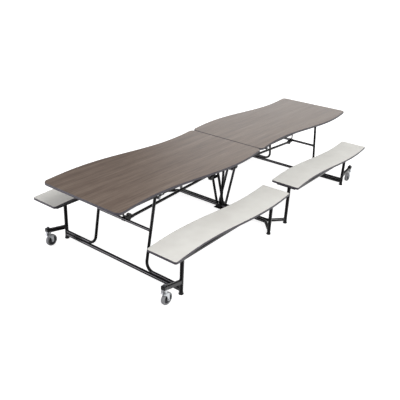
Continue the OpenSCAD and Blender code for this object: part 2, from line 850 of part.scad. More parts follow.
far_right_wheel();
far_right_tyre();
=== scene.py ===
# %% [markdown]
# A school cafeteria table with four benches that folds up on wheels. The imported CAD
# model is the fixed frame: every piece made here sits on it and moves with one of its
# bodies. All lengths are in metres and every piece keeps its place in its own mesh. The
# bent tubes stay as the CAD gives them. Boards, casters and sheet metal, on which the eye
# rests longer, are drawn again with finer edges.

# %% The frame
import json
import math

import bmesh
import bpy
import numpy as np
from mathutils import Matrix, Vector


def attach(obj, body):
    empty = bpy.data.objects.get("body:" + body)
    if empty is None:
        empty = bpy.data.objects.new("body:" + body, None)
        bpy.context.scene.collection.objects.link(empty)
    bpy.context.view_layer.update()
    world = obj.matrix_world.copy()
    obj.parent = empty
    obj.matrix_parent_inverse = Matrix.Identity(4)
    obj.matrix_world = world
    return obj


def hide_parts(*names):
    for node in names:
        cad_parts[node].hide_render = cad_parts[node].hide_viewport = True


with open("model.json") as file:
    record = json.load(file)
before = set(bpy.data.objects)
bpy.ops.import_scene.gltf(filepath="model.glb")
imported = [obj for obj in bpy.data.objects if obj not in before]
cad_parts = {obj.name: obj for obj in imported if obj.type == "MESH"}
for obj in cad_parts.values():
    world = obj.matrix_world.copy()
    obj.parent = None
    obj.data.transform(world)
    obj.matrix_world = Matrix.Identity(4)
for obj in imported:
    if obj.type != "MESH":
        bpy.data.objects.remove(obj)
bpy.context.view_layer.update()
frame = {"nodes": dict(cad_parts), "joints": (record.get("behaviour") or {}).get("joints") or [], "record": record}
MM = 0.001
ENDS = (("near", 1.0), ("far", -1.0))
SIDES = (("left", 1), ("right", -1))

# %% [markdown]
# The camera stands where the photograph was taken from. Its place was solved from the
# corners of the decks, the benches and the feet, so it is written as numbers: a turn and
# a shift take a place in the world to a place before the lens. Aiming a camera by hand
# would also do, but it never quite lines up the far end.

# %% Camera
PHOTO_SIDE = 400
FOCAL_PX = 545.58
TURN = Vector((1.862948, -0.884099, 0.621124))
INCH = 0.0254
SHIFT = Vector((8.400254, 3.175193, 218.524130)) * INCH
SENSOR_MM = 36.0


def set_camera():
    """World to camera is a turn about one axis and then a shift; x right, y down, z ahead."""
    turn = Matrix.Rotation(TURN.length, 3, TURN.normalized())
    right, down, ahead = turn[0], turn[1], turn[2]
    data = bpy.data.cameras.new("camera")
    data.sensor_width = SENSOR_MM
    data.lens = FOCAL_PX * SENSOR_MM / PHOTO_SIDE
    data.clip_end = 100
    camera = bpy.data.objects.new("camera", data)
    bpy.context.scene.collection.objects.link(camera)
    axes = Matrix((right, -down, -ahead)).transposed().to_4x4()
    axes.translation = -(turn.transposed() @ SHIFT)
    camera.matrix_world = axes
    bpy.context.scene.camera = camera
    return camera


camera = set_camera()
print("camera at", [round(v, 3) for v in camera.location])

# %% [markdown]
# A material is a small graph of nodes. One helper adds a node, sets its values and joins
# its inputs, and another turns a colour written as web hex into the linear numbers that
# a shader works in. The same graph could be clicked together by hand; written down, its
# sizes can be read in millimetres.

# %% Material helpers


def linear(hex_colour):
    """sRGB to linear: (c / 12.92) when dark, else ((c + 0.055) / 1.055) to the power 2.4."""
    srgb = [int(hex_colour[i:i + 2], 16) / 255 for i in (1, 3, 5)]
    return [c / 12.92 if c <= 0.04045 else ((c + 0.055) / 1.055) ** 2.4 for c in srgb] + [1.0]


def add_node(tree, kind, settings=None, stops=(), **inputs):
    """Adds a node. Settings are its own options and stops a colour ramp's (place, hex colour)
    pairs. An input is called by its name, or by its number after an i, and is given a value,
    a socket, or a node whose first output is joined."""
    node = tree.nodes.new(kind)
    for key, value in (settings or {}).items():
        setattr(node, key, value)
    for _ in stops[2:]:
        node.color_ramp.elements.new(0.5)
    for k, (place, colour) in enumerate(stops):
        node.color_ramp.elements[k].position = place
        node.color_ramp.elements[k].color = linear(colour)
    for key, value in inputs.items():
        socket = node.inputs[int(key[1:]) if key[1:].isdigit() else key.replace("_", " ")]
        value = value.outputs[0] if isinstance(value, bpy.types.Node) else value
        if isinstance(value, bpy.types.NodeSocket):
            tree.links.new(value, socket)
        else:
            socket.default_value = value
    return node


def bare_material(name):
    """A material whose tree is still empty."""
    material = bpy.data.materials.new(name)
    material.use_nodes = True
    material.node_tree.nodes.clear()
    return material, material.node_tree


def finished(material, **inputs):
    """Closes a material's tree with one principled shader that has these inputs."""
    tree = material.node_tree
    shader = add_node(tree, "ShaderNodeBsdfPrincipled", **inputs)
    add_node(tree, "ShaderNodeOutputMaterial", Surface=shader)
    print("finish", material.name, "nodes", len(tree.nodes))
    return material


# %% [markdown]
# Real finishes are never even. The pattern under all of them is noise in the piece's own
# coordinates, so it stays on the piece when that moves. A painted texture would need a
# picture and a map; noise needs only the real size of its grains. Most of its values lie
# between 0.3 and 0.7, so that is the part that is used.

# %% Grain and clouded skins
NOISE_MIDDLE = {"From_Min": 0.3, "From_Max": 0.7}


def grain(tree, size_mm, detail=3.0, rough=0.6, offset=0.0):
    """Noise whose grains are so many millimetres across, one size or one for each axis."""
    place = add_node(tree, "ShaderNodeTexCoord").outputs["Object"]
    scaled = add_node(tree, "ShaderNodeMapping", Vector=place, Location=(offset,) * 3,
                      Scale=[1 / (size * MM) for size in np.broadcast_to(size_mm, 3)])
    return add_node(tree, "ShaderNodeTexNoise", Vector=scaled, Scale=1.0, Detail=detail,
                    Roughness=rough)


def clouded_skin(name, colours, cloud, skin=None, dullness=None, relief=None, depth_mm=0.05,
                 strength=0.6, **even):
    """A skin whose colour drifts between two as a cloud does. A dullness is the two roughnesses
    that the skin's noise runs between, and a relief is pressed in as a bump. Cloud, skin and
    relief are each a grain in millimetres and a detail. What is even goes to the shader."""
    material, tree = bare_material(name)
    even["Base_Color"] = add_node(tree, "ShaderNodeValToRGB", Fac=grain(tree, *cloud),
                                  stops=list(zip((0.3, 0.7), colours)))
    if dullness:
        even["Roughness"] = add_node(tree, "ShaderNodeMapRange", Value=grain(tree, *skin),
                                     To_Min=dullness[0], To_Max=dullness[1], **NOISE_MIDDLE)
    if relief:
        even["Normal"] = add_node(tree, "ShaderNodeBump", Height=grain(tree, *relief),
                                  Distance=depth_mm * MM, Strength=strength)
    return finished(material, **even)


print("noise is read between", *NOISE_MIDDLE.values())

# %% [markdown]
# The deck tops are high-pressure laminate with a driftwood print: grey-brown, with long
# grain along the table. Four sizes of drawn-out noise stand for the boards' tone, the
# growth rings, short dark flecks and the pores, which are drawn a little coarser than real
# ones so that they show. The sheet is pressed with a fine texture, so it is satin. A
# photograph of wood would repeat; noise doesn't.

# %% Driftwood laminate


def driftwood_laminate():
    """The tone is 62 parts rings to 38 parts boards, then 15 percent flecks. The pores darken
    it by up to 30 percent."""
    material, tree = bare_material("driftwood_laminate")
    boards, rings, flecks, pores = [
        grain(tree, (length, width, width), detail, 0.55, offset)
        for length, width, detail, offset in ((900, 60, 3, 0), (260, 9, 5, 3.7),
                                              (90, 3.5, 4, 6.3), (60, 1.6, 3, 9.1))]
    tone = add_node(tree, "ShaderNodeMix", {"data_type": "FLOAT"}, Factor=0.62, A=boards, B=rings)
    tone = add_node(tree, "ShaderNodeMix", {"data_type": "FLOAT"}, Factor=0.15, A=tone, B=flecks)
    wood = add_node(tree, "ShaderNodeValToRGB", Fac=tone, stops=(
        (0.30, "#504137"), (0.43, "#6b594d"), (0.54, "#7d6c5f"), (0.70, "#968679")))
    pore = add_node(tree, "ShaderNodeMapRange", Value=pores, To_Min=0.30, To_Max=0.0,
                    **NOISE_MIDDLE)
    inked = add_node(tree, "ShaderNodeMix", {"data_type": "RGBA", "blend_type": "MULTIPLY"},
                     Factor=pore, i6=wood, i7=linear("#8d847d")).outputs[2]
    satin = add_node(tree, "ShaderNodeMapRange", Value=rings, To_Min=0.33, To_Max=0.43,
                     **NOISE_MIDDLE)
    pressed = add_node(tree, "ShaderNodeBump", Height=pores, Distance=0.06 * MM, Strength=0.6)
    return finished(material, Base_Color=inked, Roughness=satin, Normal=pressed)


FINISH = {"laminate": driftwood_laminate()}

# %% [markdown]
# The benches have a plain off-white laminate. It is never quite even, so a wide, faint
# cloud shifts its colour, and a fine pressed texture breaks its gloss. Under each board
# lies a plain brown backing sheet, which keeps the plywood from warping. It shows when the
# table is folded, and it is evenly matt, so one dullness does.

# %% Off-white laminate and backing sheet
FINISH["seat_laminate"] = clouded_skin(
    "off_white_laminate", ("#e3e1db", "#ebeae4"), cloud=(180, 2), skin=(1.2, 3),
    dullness=(0.48, 0.58), relief=(1.2, 3), depth_mm=0.04)
BACKING = clouded_skin(
    "phenolic_backing_sheet", ("#3b2f28", "#4a3c33"), cloud=(3, 3), relief=(3, 3),
    depth_mm=0.08, Roughness=0.62)

# %% [markdown]
# The edge is a pressed-in vinyl moulding: charcoal with a slight sheen and a very fine
# grain from the die that it was extruded through. Most of that grain is too fine to draw
# and only dulls the mirror image, so the specular level is a little low.

# %% Vinyl edge
FINISH["edge_band"] = clouded_skin(
    "charcoal_vinyl_edge", ("#434046", "#4d4a51"), cloud=(25, 3), skin=(6, 3),
    dullness=(0.42, 0.54), relief=(0.9, 3), Specular_IOR_Level=0.35)

# %% [markdown]
# The steel frame is powder coated: baked plastic powder that flows into a glossy black
# skin with a faint orange peel, a little thinner and duller in places. The peel's grain
# is about 2 mm. It is kept weak, because a strong bump breaks up the light lines that
# make a tube look round.

# %% Black powder coat
FINISH["frame_black"] = clouded_skin(
    "black_powder_coat", ("#0c0b0d", "#121114"), cloud=(40, 3), skin=(15, 3),
    dullness=(0.14, 0.22), relief=(2.2, 2), strength=0.2)

# %% [markdown]
# The casters' steel is bright zinc plate: a clear silver with a cloudy, slightly blue
# passivated skin. The nuts on top are plain steel that has gone dull. Both are metal, so
# the base colour is the colour of their mirror image, and dullness does the rest.

# %% Zinc and steel
FINISH["zinc"] = clouded_skin(
    "bright_zinc_plate", ("#c3c7cc", "#dcdee0"), cloud=(9, 3), skin=(9, 3),
    dullness=(0.32, 0.46), Metallic=1.0)
DULL = clouded_skin(
    "dull_steel", ("#5c5e61", "#76787a"), cloud=(5, 3), skin=(5, 3), dullness=(0.42, 0.56),
    Metallic=1.0)

# %% [markdown]
# The wheels have a moulded grey hub, drawn darker than its own grey as painted shade
# for its recessed face, and a light grey tread of rubber that doesn't mark floors. Rubber
# is dull and picks up dust, so its roughness is high and uneven.
# Glides, plugs, caps and bearing blocks are moulded black nylon. Every CAD node then
# gets the finish of its slot, also those that a finer piece replaces later.

# %% Moulded plastics and rubber
# The hub's colour is darkened below its own grey as painted shade for its recessed face.
FINISH["hub_grey"] = clouded_skin(
    "dark_grey_polypropylene", ("#333437", "#3d3e41"), cloud=(18, 3), skin=(1.5, 3),
    dullness=(0.38, 0.5), relief=(1.5, 3))
FINISH["tyre_grey"] = clouded_skin(
    "grey_tread_rubber", ("#838486", "#929395"), cloud=(12, 3), skin=(1, 3),
    dullness=(0.6, 0.75), relief=(1, 3))
FINISH["glide_black"] = clouded_skin(
    "black_nylon", ("#0d0d0e", "#131315"), cloud=(12, 3), skin=(1, 3), dullness=(0.5, 0.62),
    relief=(1, 3))
SLOT_OF = {part["node"]: part["material_slot"] for part in frame["record"]["subparts"]}
for node, part in frame["nodes"].items():
    part.data.materials.clear()
    part.data.materials.append(FINISH[SLOT_OF[node]])
print("finishes", sorted(FINISH))

# %% [markdown]
# Shapes are grids of points worked out with numpy. A shell is a list of points and a
# list of faces; several shells make one piece, which then gets its finish and the body
# that it moves with. Modelling by hand would be quicker for one screw, but this table has
# about two hundred bolts and screws, and one rule draws them all.

# %% Shells and pieces


def grid_shell(points, wrap_u=False, wrap_v=False, caps=False):
    """points[i, j] is the surface at the i-th u and the j-th v; each four neighbours are a face."""
    nu, nv = points.shape[:2]
    index = np.arange(nu * nv).reshape(nu, nv)
    rows = np.vstack([index, index[:1]]) if wrap_u else index
    rows = np.hstack([rows, rows[:, :1]]) if wrap_v else rows
    quads = np.stack([rows[:-1, :-1], rows[1:, :-1], rows[1:, 1:], rows[:-1, 1:]], -1)
    faces = quads.reshape(-1, 4).tolist()
    if caps:
        faces += [index[0][::-1].tolist(), index[-1].tolist()]
    return points.reshape(-1, 3), faces


def join_shells(shells):
    """Puts shells one after another and counts each one's faces on from the last point."""
    points, faces, start = [], [], 0
    for shell_points, shell_faces in shells:
        points.append(shell_points)
        faces += [[start + i for i in face] for face in shell_faces]
        start += len(shell_points)
    return np.concatenate(points), faces


def make_piece(name, shells, slot, body, replaces=(), sharp=35, finish=None):
    """One object from shells: doubles merged, faces outwards, smooth up to an angle."""
    points, faces = join_shells(shells)
    mesh = bpy.data.meshes.new(name)
    mesh.from_pydata(points.tolist(), [], faces)
    work = bmesh.new()
    work.from_mesh(mesh)
    bmesh.ops.remove_doubles(work, verts=work.verts, dist=0.01 * MM)
    bmesh.ops.recalc_face_normals(work, faces=work.faces)
    work.to_mesh(mesh)
    work.free()
    mesh.polygons.foreach_set("use_smooth", np.ones(len(mesh.polygons), bool))
    mesh.set_sharp_from_angle(angle=math.radians(sharp))
    mesh.materials.append(finish or FINISH[slot])
    piece = bpy.data.objects.new(name, mesh)
    bpy.context.scene.collection.objects.link(piece)
    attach(piece, body)
    if replaces:
        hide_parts(*replaces)
    return piece


def turned(shells, sign):
    """The far half is the near one turned half a turn: x and y change sign."""
    return [(points * [sign, sign, 1], faces) for points, faces in shells]


def both_halves(name, shells, slot, body, replaces="", **more):
    """The near half's piece from its shells, and the far half's from the same ones turned."""
    for end, sign in ENDS:
        make_piece(end + "_" + name, turned(shells, sign), slot, end + "_" + body,
                   replaces=(end + "_" + replaces,) if replaces else (), **more)


print("one face has", len(grid_shell(np.zeros((2, 2, 3)))[0]), "points")

# %% [markdown]
# A deck and a bench have the same kind of outline: a rounded rectangle pushed sideways
# along a sine. A modifier could bend a flat slab, but not exactly into the CAD's outline.
# Here the board between the edges is a stack of cross sections from end to end, each in
# its exact place, and the highlights run along it without a seam.

# %% Decks and benches between their edges
DECK = {"end": 1.833, "length": 1.829, "width": 0.818, "thick": 0.019, "radius": 0.050,
        "sway": 0.043, "middle": 0.0, "low": 0.718}
BENCH = {"end": 1.665, "length": 1.590, "width": 0.283, "thick": 0.019, "radius": 0.020,
         "sway": 0.025, "middle": 0.643, "low": 0.413}
EDGE = 0.003
EDGE_OVERLAP = 0.0004
CROWN = 0.0014
CORNER_STEPS, LENGTH_STEPS, WIDTH_STEPS, EDGE_STEPS, FACE_STEPS = 14, 150, 17, 122, 13


def board_shell(form, side):
    """Sections across the board. At a distance x from its end the half width is
    w/2 - r + sqrt(r^2 - d^2), where d is how far x lies inside the corner, and the whole
    section is pushed sideways by sway * sin(2 pi x / length)."""
    inset, radius = EDGE - EDGE_OVERLAP, form["radius"] - EDGE
    corner = radius * (1 - np.cos(np.linspace(0, np.pi / 2, CORNER_STEPS)))
    length = form["length"] - 2 * inset
    x = np.concatenate([corner, np.linspace(radius, length - radius, LENGTH_STEPS)[1:-1],
                        length - corner[::-1]])
    depth = np.clip(radius - np.minimum(x, length - x), 0, radius)
    half = form["width"] / 2 - inset - radius + np.sqrt(radius ** 2 - depth ** 2)
    across = np.linspace(-1, 1, WIDTH_STEPS)
    loop_y = np.concatenate([across, across[::-1]])
    loop_z = np.repeat([form["thick"], 0.0], WIDTH_STEPS)
    sway = form["sway"] * np.sin(2 * np.pi * (x + inset) / form["length"])
    points = np.empty((len(x), len(loop_y), 3))
    points[..., 0] = (x + inset - form["end"])[:, None]
    points[..., 1] = side * form["middle"] + sway[:, None] + half[:, None] * loop_y
    points[..., 2] = form["low"] + loop_z
    return grid_shell(points, wrap_v=True, caps=True)


print("a deck's board has", len(board_shell(DECK, 0)[0]), "points")

# %% [markdown]
# The vinyl edge is one long extrusion pressed round the board, with a slightly crowned
# face. It is a section carried round the outline, so the crown's light line runs on
# without a break through the four corners.

# %% The edge moulding


def outline(form, side):
    """The board's outline and its outward normals, as a closed loop of points."""
    radius, length, half = form["radius"], form["length"], form["width"] / 2
    along = np.linspace(radius, length - radius, EDGE_STEPS)[1:-1]
    edges = [np.stack([along, np.full_like(along, -half)], -1), np.zeros((0, 2)),
             np.stack([along[::-1], np.full_like(along, half)], -1), np.zeros((0, 2))]
    parts = []
    for edge, (cx, cy, start) in zip(edges, (
            (radius, -half + radius, 180), (length - radius, -half + radius, 270),
            (length - radius, half - radius, 0), (radius, half - radius, 90))):
        angle = np.radians(np.linspace(start, start + 90, CORNER_STEPS + 1))
        parts += [np.stack([cx + radius * np.cos(angle), cy + radius * np.sin(angle)], -1), edge]
    loop = np.concatenate(parts)
    loop[:, 1] += form["sway"] * np.sin(2 * np.pi * loop[:, 0] / length) + side * form["middle"]
    loop[:, 0] -= form["end"]
    tangent = np.roll(loop, -1, 0) - np.roll(loop, 1, 0)
    tangent /= np.linalg.norm(tangent, axis=1)[:, None]
    return loop, np.stack([tangent[:, 1], -tangent[:, 0]], -1)


def edge_shell(form, side):
    """The moulding's section, carried round the outline: flat lips and a crowned face
    whose bulge is crown * (1 - h^4), with h from -1 at the bottom to 1 at the top."""
    loop, normal = outline(form, side)
    h = np.sin(np.linspace(-np.pi / 2, np.pi / 2, FACE_STEPS))
    out = np.concatenate([-CROWN * np.abs(h) ** 4, [-EDGE, -EDGE]])
    z = np.concatenate([(h + 1) / 2, [1, 0]]) * form["thick"]
    points = np.empty((len(loop), len(out), 3))
    points[..., :2] = loop[:, None, :] + normal[:, None, :] * out[None, :, None]
    points[..., 2] = form["low"] + z
    return grid_shell(points, wrap_u=True, wrap_v=True)


print("the deck's outline has", len(outline(DECK, 0)[0]), "points")

# %% [markdown]
# Board and edge are two pieces, because they are two materials that meet at a sharp line.
# The board has a second material for the faces that look down. Two decks and four benches
# are made; a bench's side changes sign at the far end, because that half is turned.

# %% Six boards


def dress_board(name, form, side, sign, slot, body):
    """The board with its brown backing on the faces that look down, and its edge."""
    board = make_piece(name + "_board", turned([board_shell(form, side)], sign), slot, body,
                       replaces=(name,))
    board.data.materials.append(BACKING)
    normals = np.empty(3 * len(board.data.polygons), dtype=np.float32)
    board.data.polygons.foreach_get("normal", normals)
    board.data.polygons.foreach_set("material_index", (normals[2::3] < -0.5).astype(np.int32))
    make_piece(name + "_edge", turned([edge_shell(form, side)], sign), "edge_band", body,
               replaces=(name + "_band",))


for end, sign in ENDS:
    dress_board(end + "_deck", DECK, 0, sign, "laminate", end + "_deck")
    for side_name, side in SIDES:
        name = end + "_" + side_name + "_bench"
        dress_board(name, BENCH, side * sign, sign, "seat_laminate", name)
print("boards dressed", len(ENDS) * (1 + len(SIDES)))

# %% [markdown]
# The steel pieces are bars with a rounded section, bent sheet, flat plates with broken
# edges, and turned parts. Each kind is one surface: a section carried along a line, a
# stack of outlines, or a profile turned about an axis. All of them are drawn for the
# near half. First come the flat lines and sections that these surfaces start from.

# %% Lines and sections


def mm(table):
    """A table in millimetres, as an array in metres."""
    return np.asarray(table, float) * MM


def unit(vector):
    """The vector over its own length."""
    return np.asarray(vector, float) / np.linalg.norm(vector)


def bent(corners, radius, steps=6):
    """A line with rounded corners: each corner is cut back by radius * tan(turn / 2) and the
    two ends are joined by the arc that meets both sides."""
    corners = [np.asarray(corner, float) for corner in corners]
    line = [corners[0]]
    for before, here, after in zip(corners, corners[1:], corners[2:]):
        way_in, way_out = unit(here - before), unit(after - here)
        turn = math.acos(float(np.clip(way_in @ way_out, -1, 1)))
        start = here - way_in * radius * math.tan(turn / 2)
        to_centre = unit(way_out - way_in * math.cos(turn))
        angle = np.linspace(0, turn, steps + 1)[:, None]
        line.extend(start + radius * (way_in * np.sin(angle) + to_centre * (1 - np.cos(angle))))
    line.append(corners[-1])
    return np.array(line)


def arc(cx, cy, radius, start, stop, steps=8):
    """Points (cx + r cos a, cy + r sin a) from one angle to another, in degrees."""
    angle = np.radians(np.linspace(start, stop, steps + 1))
    return np.stack([cx + radius * np.cos(angle), cy + radius * np.sin(angle)], -1)


def rounded(width, height, radius, steps=4):
    """A closed rectangle about (0, 0) with round corners."""
    w, h = width / 2 - radius, height / 2 - radius
    corners = ((1, 1, 0), (-1, 1, 90), (-1, -1, 180), (1, -1, 270))
    return np.concatenate([arc(x * w, y * h, radius, start, start + 90, steps)
                           for x, y, start in corners])


def line_normals(line):
    """At each point of a flat line, the unit vector square to it."""
    way = np.gradient(line, axis=0)
    return np.stack([way[:, 1], -way[:, 0]], -1) / np.linalg.norm(way, axis=1)[:, None]


def strip(line, wall):
    """A bent sheet's section: the line shifted half the wall to one side, then back along the
    other side."""
    shift = line_normals(line) * wall / 2
    return np.concatenate([line + shift, (line - shift)[::-1]])


print("a rounded section has", len(rounded(0.02, 0.02, 0.003)), "points")

# %% [markdown]
# A bar is a section that travels along a path, as if it came out of a rolling mill. A
# plate is an outline with depth whose edges are broken by a hair, because no real edge
# is sharp and the broken one catches the light. A turned part is a profile spun about an
# axis, as on a lathe.

# %% Bars, plates and turned parts


def carried(path, section, up=(0, 0, 1)):
    """The section's points (a, b) at each place p of the path: p + a * (up x way) + b * up."""
    path = np.asarray(path, float)
    way = np.gradient(path, axis=0)
    side = np.cross(up, way)
    side /= np.linalg.norm(side, axis=1)[:, None]
    high = np.cross(way, side)
    high /= np.linalg.norm(high, axis=1)[:, None]
    a, b = section[None, :, :1], section[None, :, 1:]
    return grid_shell(path[:, None] + side[:, None] * a + high[:, None] * b, wrap_v=True, caps=True)


def plate(outline_2d, low, high, edge=0.0008, order=(0, 1, 2)):
    """A stack of four outlines between two depths, the first and last drawn in by the edge. The
    order says which axes the outline's two numbers and the depth go to."""
    way = np.roll(outline_2d, -1, 0) - np.roll(outline_2d, 1, 0)
    inward = np.stack([-way[:, 1], way[:, 0]], -1) / np.linalg.norm(way, axis=1)[:, None]
    rings = np.empty((4, len(outline_2d), 3))
    for ring, depth, inset in zip(rings, (low, low + edge, high - edge, high), (edge, 0, 0, edge)):
        ring[:, order[:2]] = outline_2d + inward * inset
        ring[:, order[2]] = depth
    return grid_shell(rings, wrap_v=True, caps=True)


def lathe(profile, origin, axis, steps=36):
    """A profile of (radius, height) turned about an axis: origin + h * axis + r * (u cos a +
    v sin a). A closed profile starts and ends at radius nought or at the same point."""
    axis = unit(axis)
    u = unit(np.cross(axis, (0, 0, 1) if abs(axis[2]) < 0.9 else (1, 0, 0)))
    v = np.cross(axis, u)
    profile = np.asarray(profile, float)
    angle = np.linspace(0, 2 * np.pi, steps, endpoint=False)
    round_it = np.cos(angle)[:, None] * u + np.sin(angle)[:, None] * v
    points = (np.asarray(origin, float) + profile[None, :, :1] * round_it[:, None]
              + profile[None, :, 1:] * axis)
    return grid_shell(points, wrap_u=True)


print("a turned ring has", len(lathe([(1, 0), (2, 0)], (0, 0, 0), (0, 0, 1))[0]), "points")

# %% [markdown]
# Bolts and screws are small, but they tell how large the table is. A hexagon head is a
# turned part as well: turned in six steps, it has six flats. Only the heads are drawn,
# because the shanks are inside the steel.

# %% Fasteners
# Profile in millimetres: distance from the axis, height
PAN_HEAD = [(0, 1.0), (1.9, 1.0), (2.1, 2.7), (3.4, 2.6), (4.4, 1.6), (4.8, 0.6), (4.8, 0), (0, 0)]
WASHER = {"thick": 0.0015, "broken": 0.0003, "seat": 0.0001}
CORNER_CUT = 0.06


def hexagon(origin, axis, width, height, washer):
    """A six-sided head or nut with its corners turned off, sunk a hair into a wider washer."""
    corner, cut = width / math.sqrt(3), width * CORNER_CUT
    top, broken = WASHER["thick"], WASHER["broken"]
    low = top - WASHER["seat"]
    head = lathe([(0, low), (corner, low), (corner, height - cut), (corner - cut, height),
                  (0, height)], origin, axis, steps=6)
    ring = lathe([(0, 0), (washer, 0), (washer, top - broken), (washer - broken, top), (0, top)],
                 origin, axis, steps=28)
    return [head, ring]


def pan_head(origin, axis):
    """A screw's round head: a low dome with a socket sunk in its middle."""
    return lathe(mm(PAN_HEAD), origin, axis, steps=18)


print("a pan head has", len(pan_head((0, 0, 0), (0, 0, 1))[0]), "points")

# %% [markdown]
# A weld runs where one pipe meets another. A bump in the paint could fake it, but in a
# close view the bead's own outline shows. The curve where the pipes meet has a formula,
# and the bead on it is a thin tube with a ripple for each drop of weld.

# %% Weld beads
WELD_R, WELD_RIPPLES, WELD_STEPS = 0.0024, 26, 78


def weld(loop, axis):
    """A bead round a closed loop: a small tube whose radius swells and shrinks by a tenth with
    each drop of weld, laid out by the loop's direction and the axis of the pipe inside it."""
    way = np.roll(loop, -1, 0) - np.roll(loop, 1, 0)
    out = np.cross(way, axis)
    out /= np.linalg.norm(out, axis=1)[:, None]
    along = np.cross(way, out)
    along /= np.linalg.norm(along, axis=1)[:, None]
    drops = np.linspace(0, 2 * np.pi * WELD_RIPPLES, len(loop), endpoint=False)
    swell = WELD_R * (1 + 0.10 * np.sin(drops))
    ring = np.linspace(0, 2 * np.pi, 6, endpoint=False)
    points = loop[:, None] + swell[:, None, None] * (
        np.cos(ring)[:, None] * out[:, None] + np.sin(ring)[:, None] * along[:, None])
    return grid_shell(points, wrap_u=True, wrap_v=True)


def saddle(place, axis, radius, wall_place, wall_axis, wall_radius):
    """Where a round pipe that runs along its axis from a place meets the wall of a second one:
    on each line of the first pipe's skin, the first point whose distance from the second
    pipe's axis is the second radius, which is the root of a square equation."""
    axis, wall_axis = unit(axis), unit(wall_axis)
    u = unit(np.cross(axis, wall_axis))
    v = np.cross(axis, u)
    angle = np.linspace(0, 2 * np.pi, WELD_STEPS, endpoint=False)[:, None]
    skin = np.asarray(place, float) + radius * (np.cos(angle) * u + np.sin(angle) * v)
    off = skin - np.asarray(wall_place, float)
    off = off - (off @ wall_axis)[:, None] * wall_axis
    lean = axis - (axis @ wall_axis) * wall_axis
    b, a, c = off @ lean, lean @ lean, np.sum(off ** 2, 1) - wall_radius ** 2
    reach = (-b - np.sqrt(np.maximum(b ** 2 - a * c, 0))) / a
    return weld(skin + reach[:, None] * axis, axis)


print("a weld bead has", 6 * WELD_STEPS, "points")

# %% [markdown]
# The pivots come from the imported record, so what is drawn here turns about the same
# lines as the CAD does. The tubes' sizes and heights are those of the part's source.

# %% Places of the frame
PIVOT_OF = {joint["name"]: np.array(joint["pos_m"]) for joint in frame["joints"]}
END_PIVOT = PIVOT_OF["near_deck_fold"]
HEAD_PIVOT = PIVOT_OF["centre_lift"]
BENCH_PIVOT = PIVOT_OF["near_left_bench_fold"]
STEM = PIVOT_OF["near_left_swivel"]
WHEEL = PIVOT_OF["near_left_roll"]
BENCH_FOLD_X = BENCH_PIVOT[0] + HEAD_PIVOT[0] - END_PIVOT[0]
POST_X, POST_Y = BENCH_PIVOT[:2]
INNER_POST_X = -0.154
POST_R, BASE_R, LEG_R = 0.016, 0.016, 0.0125
BASE_Z, RUN_Z, BAR_Z, POST_TOP = 0.040, 0.070, 0.394, 0.380
ACROSS, UPRIGHT, DOWN = (0, 1, 0), (0, 0, 1), (0, 0, -1)
print("pivots", END_PIVOT, HEAD_PIVOT, BENCH_PIVOT)

# %% [markdown]
# Two rolled steel channels stiffen each deck. Rolled sheet has soft outer corners, so the
# channel is a bent line with a wall; a bevelled box would have to be hollowed first.
# Screws go up through the lower flange into the board, and two hexagon bolts in the web
# hold each bearing block.

# %% Rails
RAIL = {"y": 0.325, "width": 0.026, "height": 0.032, "wall": 0.003, "bend": 0.0045,
        "outer": -1.767, "inner": -0.073}
RAIL_LOW = DECK["low"] - RAIL["height"]
RAIL_SCREWS = np.linspace(RAIL["outer"] + 0.03, RAIL["inner"] - 0.03, 9)
WEB_BOLT_APART, WEB_BOLT_UP = 0.022, 0.014
# Bolts and nuts: width over the flats, height with the washer, the washer's radius
WEB_BOLT = (0.010, 0.0056, 0.0075)


def rail_shell(side):
    """The channel's middle line in (y, z) is a U on its side whose open end faces the middle."""
    half_wall = RAIL["wall"] / 2
    lip = side * (RAIL["y"] - RAIL["width"] / 2)
    web = side * (RAIL["y"] + RAIL["width"] / 2 - half_wall)
    low, high = RAIL_LOW + half_wall, DECK["low"] - half_wall
    line = bent([(lip, low), (web, low), (web, high), (lip, high)], RAIL["bend"])
    return carried([(RAIL["outer"], 0, 0), (RAIL["inner"], 0, 0)], strip(line, RAIL["wall"]))


def rail_screws(side):
    """A row of screws up through the lower flange, and two bolts in the web at each block."""
    shells = [pan_head((x, side * RAIL["y"], RAIL_LOW), DOWN) for x in RAIL_SCREWS]
    web = side * (RAIL["y"] + RAIL["width"] / 2)
    for x in (END_PIVOT[0], HEAD_PIVOT[0]):
        for shift in (-WEB_BOLT_APART, WEB_BOLT_APART):
            shells += hexagon((x + shift, web, RAIL_LOW + WEB_BOLT_UP), (0, side, 0), *WEB_BOLT)
    return shells


both_halves("rolled_rails", [rail_shell(1), rail_shell(-1)], "frame_black", "deck", "rails")
print("rails dressed, screws in a rail:", len(RAIL_SCREWS))

# %% [markdown]
# Hat-shaped straps tie the two rails together and carry the board between them. A strap is
# pressed from one sheet, so it is one bent line with a wall again, and its bends are round.

# %% Straps
STRAP = {"width": 0.070, "web": 0.038, "height": 0.018, "wall": 0.0025, "bend": 0.004,
         "gap": 0.0005, "places": (-1.702, -0.783, -0.112)}
STRAP_SCREWS_Y = (-0.27, -0.09, 0.09, 0.27)


def strap_shell(x):
    """The hat's middle line in (x, z): flange, down, web, up, flange."""
    half_wall = STRAP["wall"] / 2
    high, low = DECK["low"] - half_wall, DECK["low"] - STRAP["height"] + half_wall
    brim, crown = STRAP["width"] / 2, STRAP["web"] / 2 - half_wall
    line = bent([(-brim, high), (-crown, high), (-crown, low), (crown, low), (crown, high),
                 (brim, high)], STRAP["bend"])
    half = RAIL["y"] - RAIL["width"] / 2 - STRAP["gap"]
    return carried([(x, -half, 0), (x, half, 0)], strip(line, STRAP["wall"]) * [-1, 1])


def strap_screws(x):
    """Four screws in each of the strap's two flanges."""
    brim = (STRAP["width"] + STRAP["web"]) / 4
    return [pan_head((x + s * brim, y, DECK["low"] - STRAP["wall"]), DOWN)
            for s in (-1, 1) for y in STRAP_SCREWS_Y]


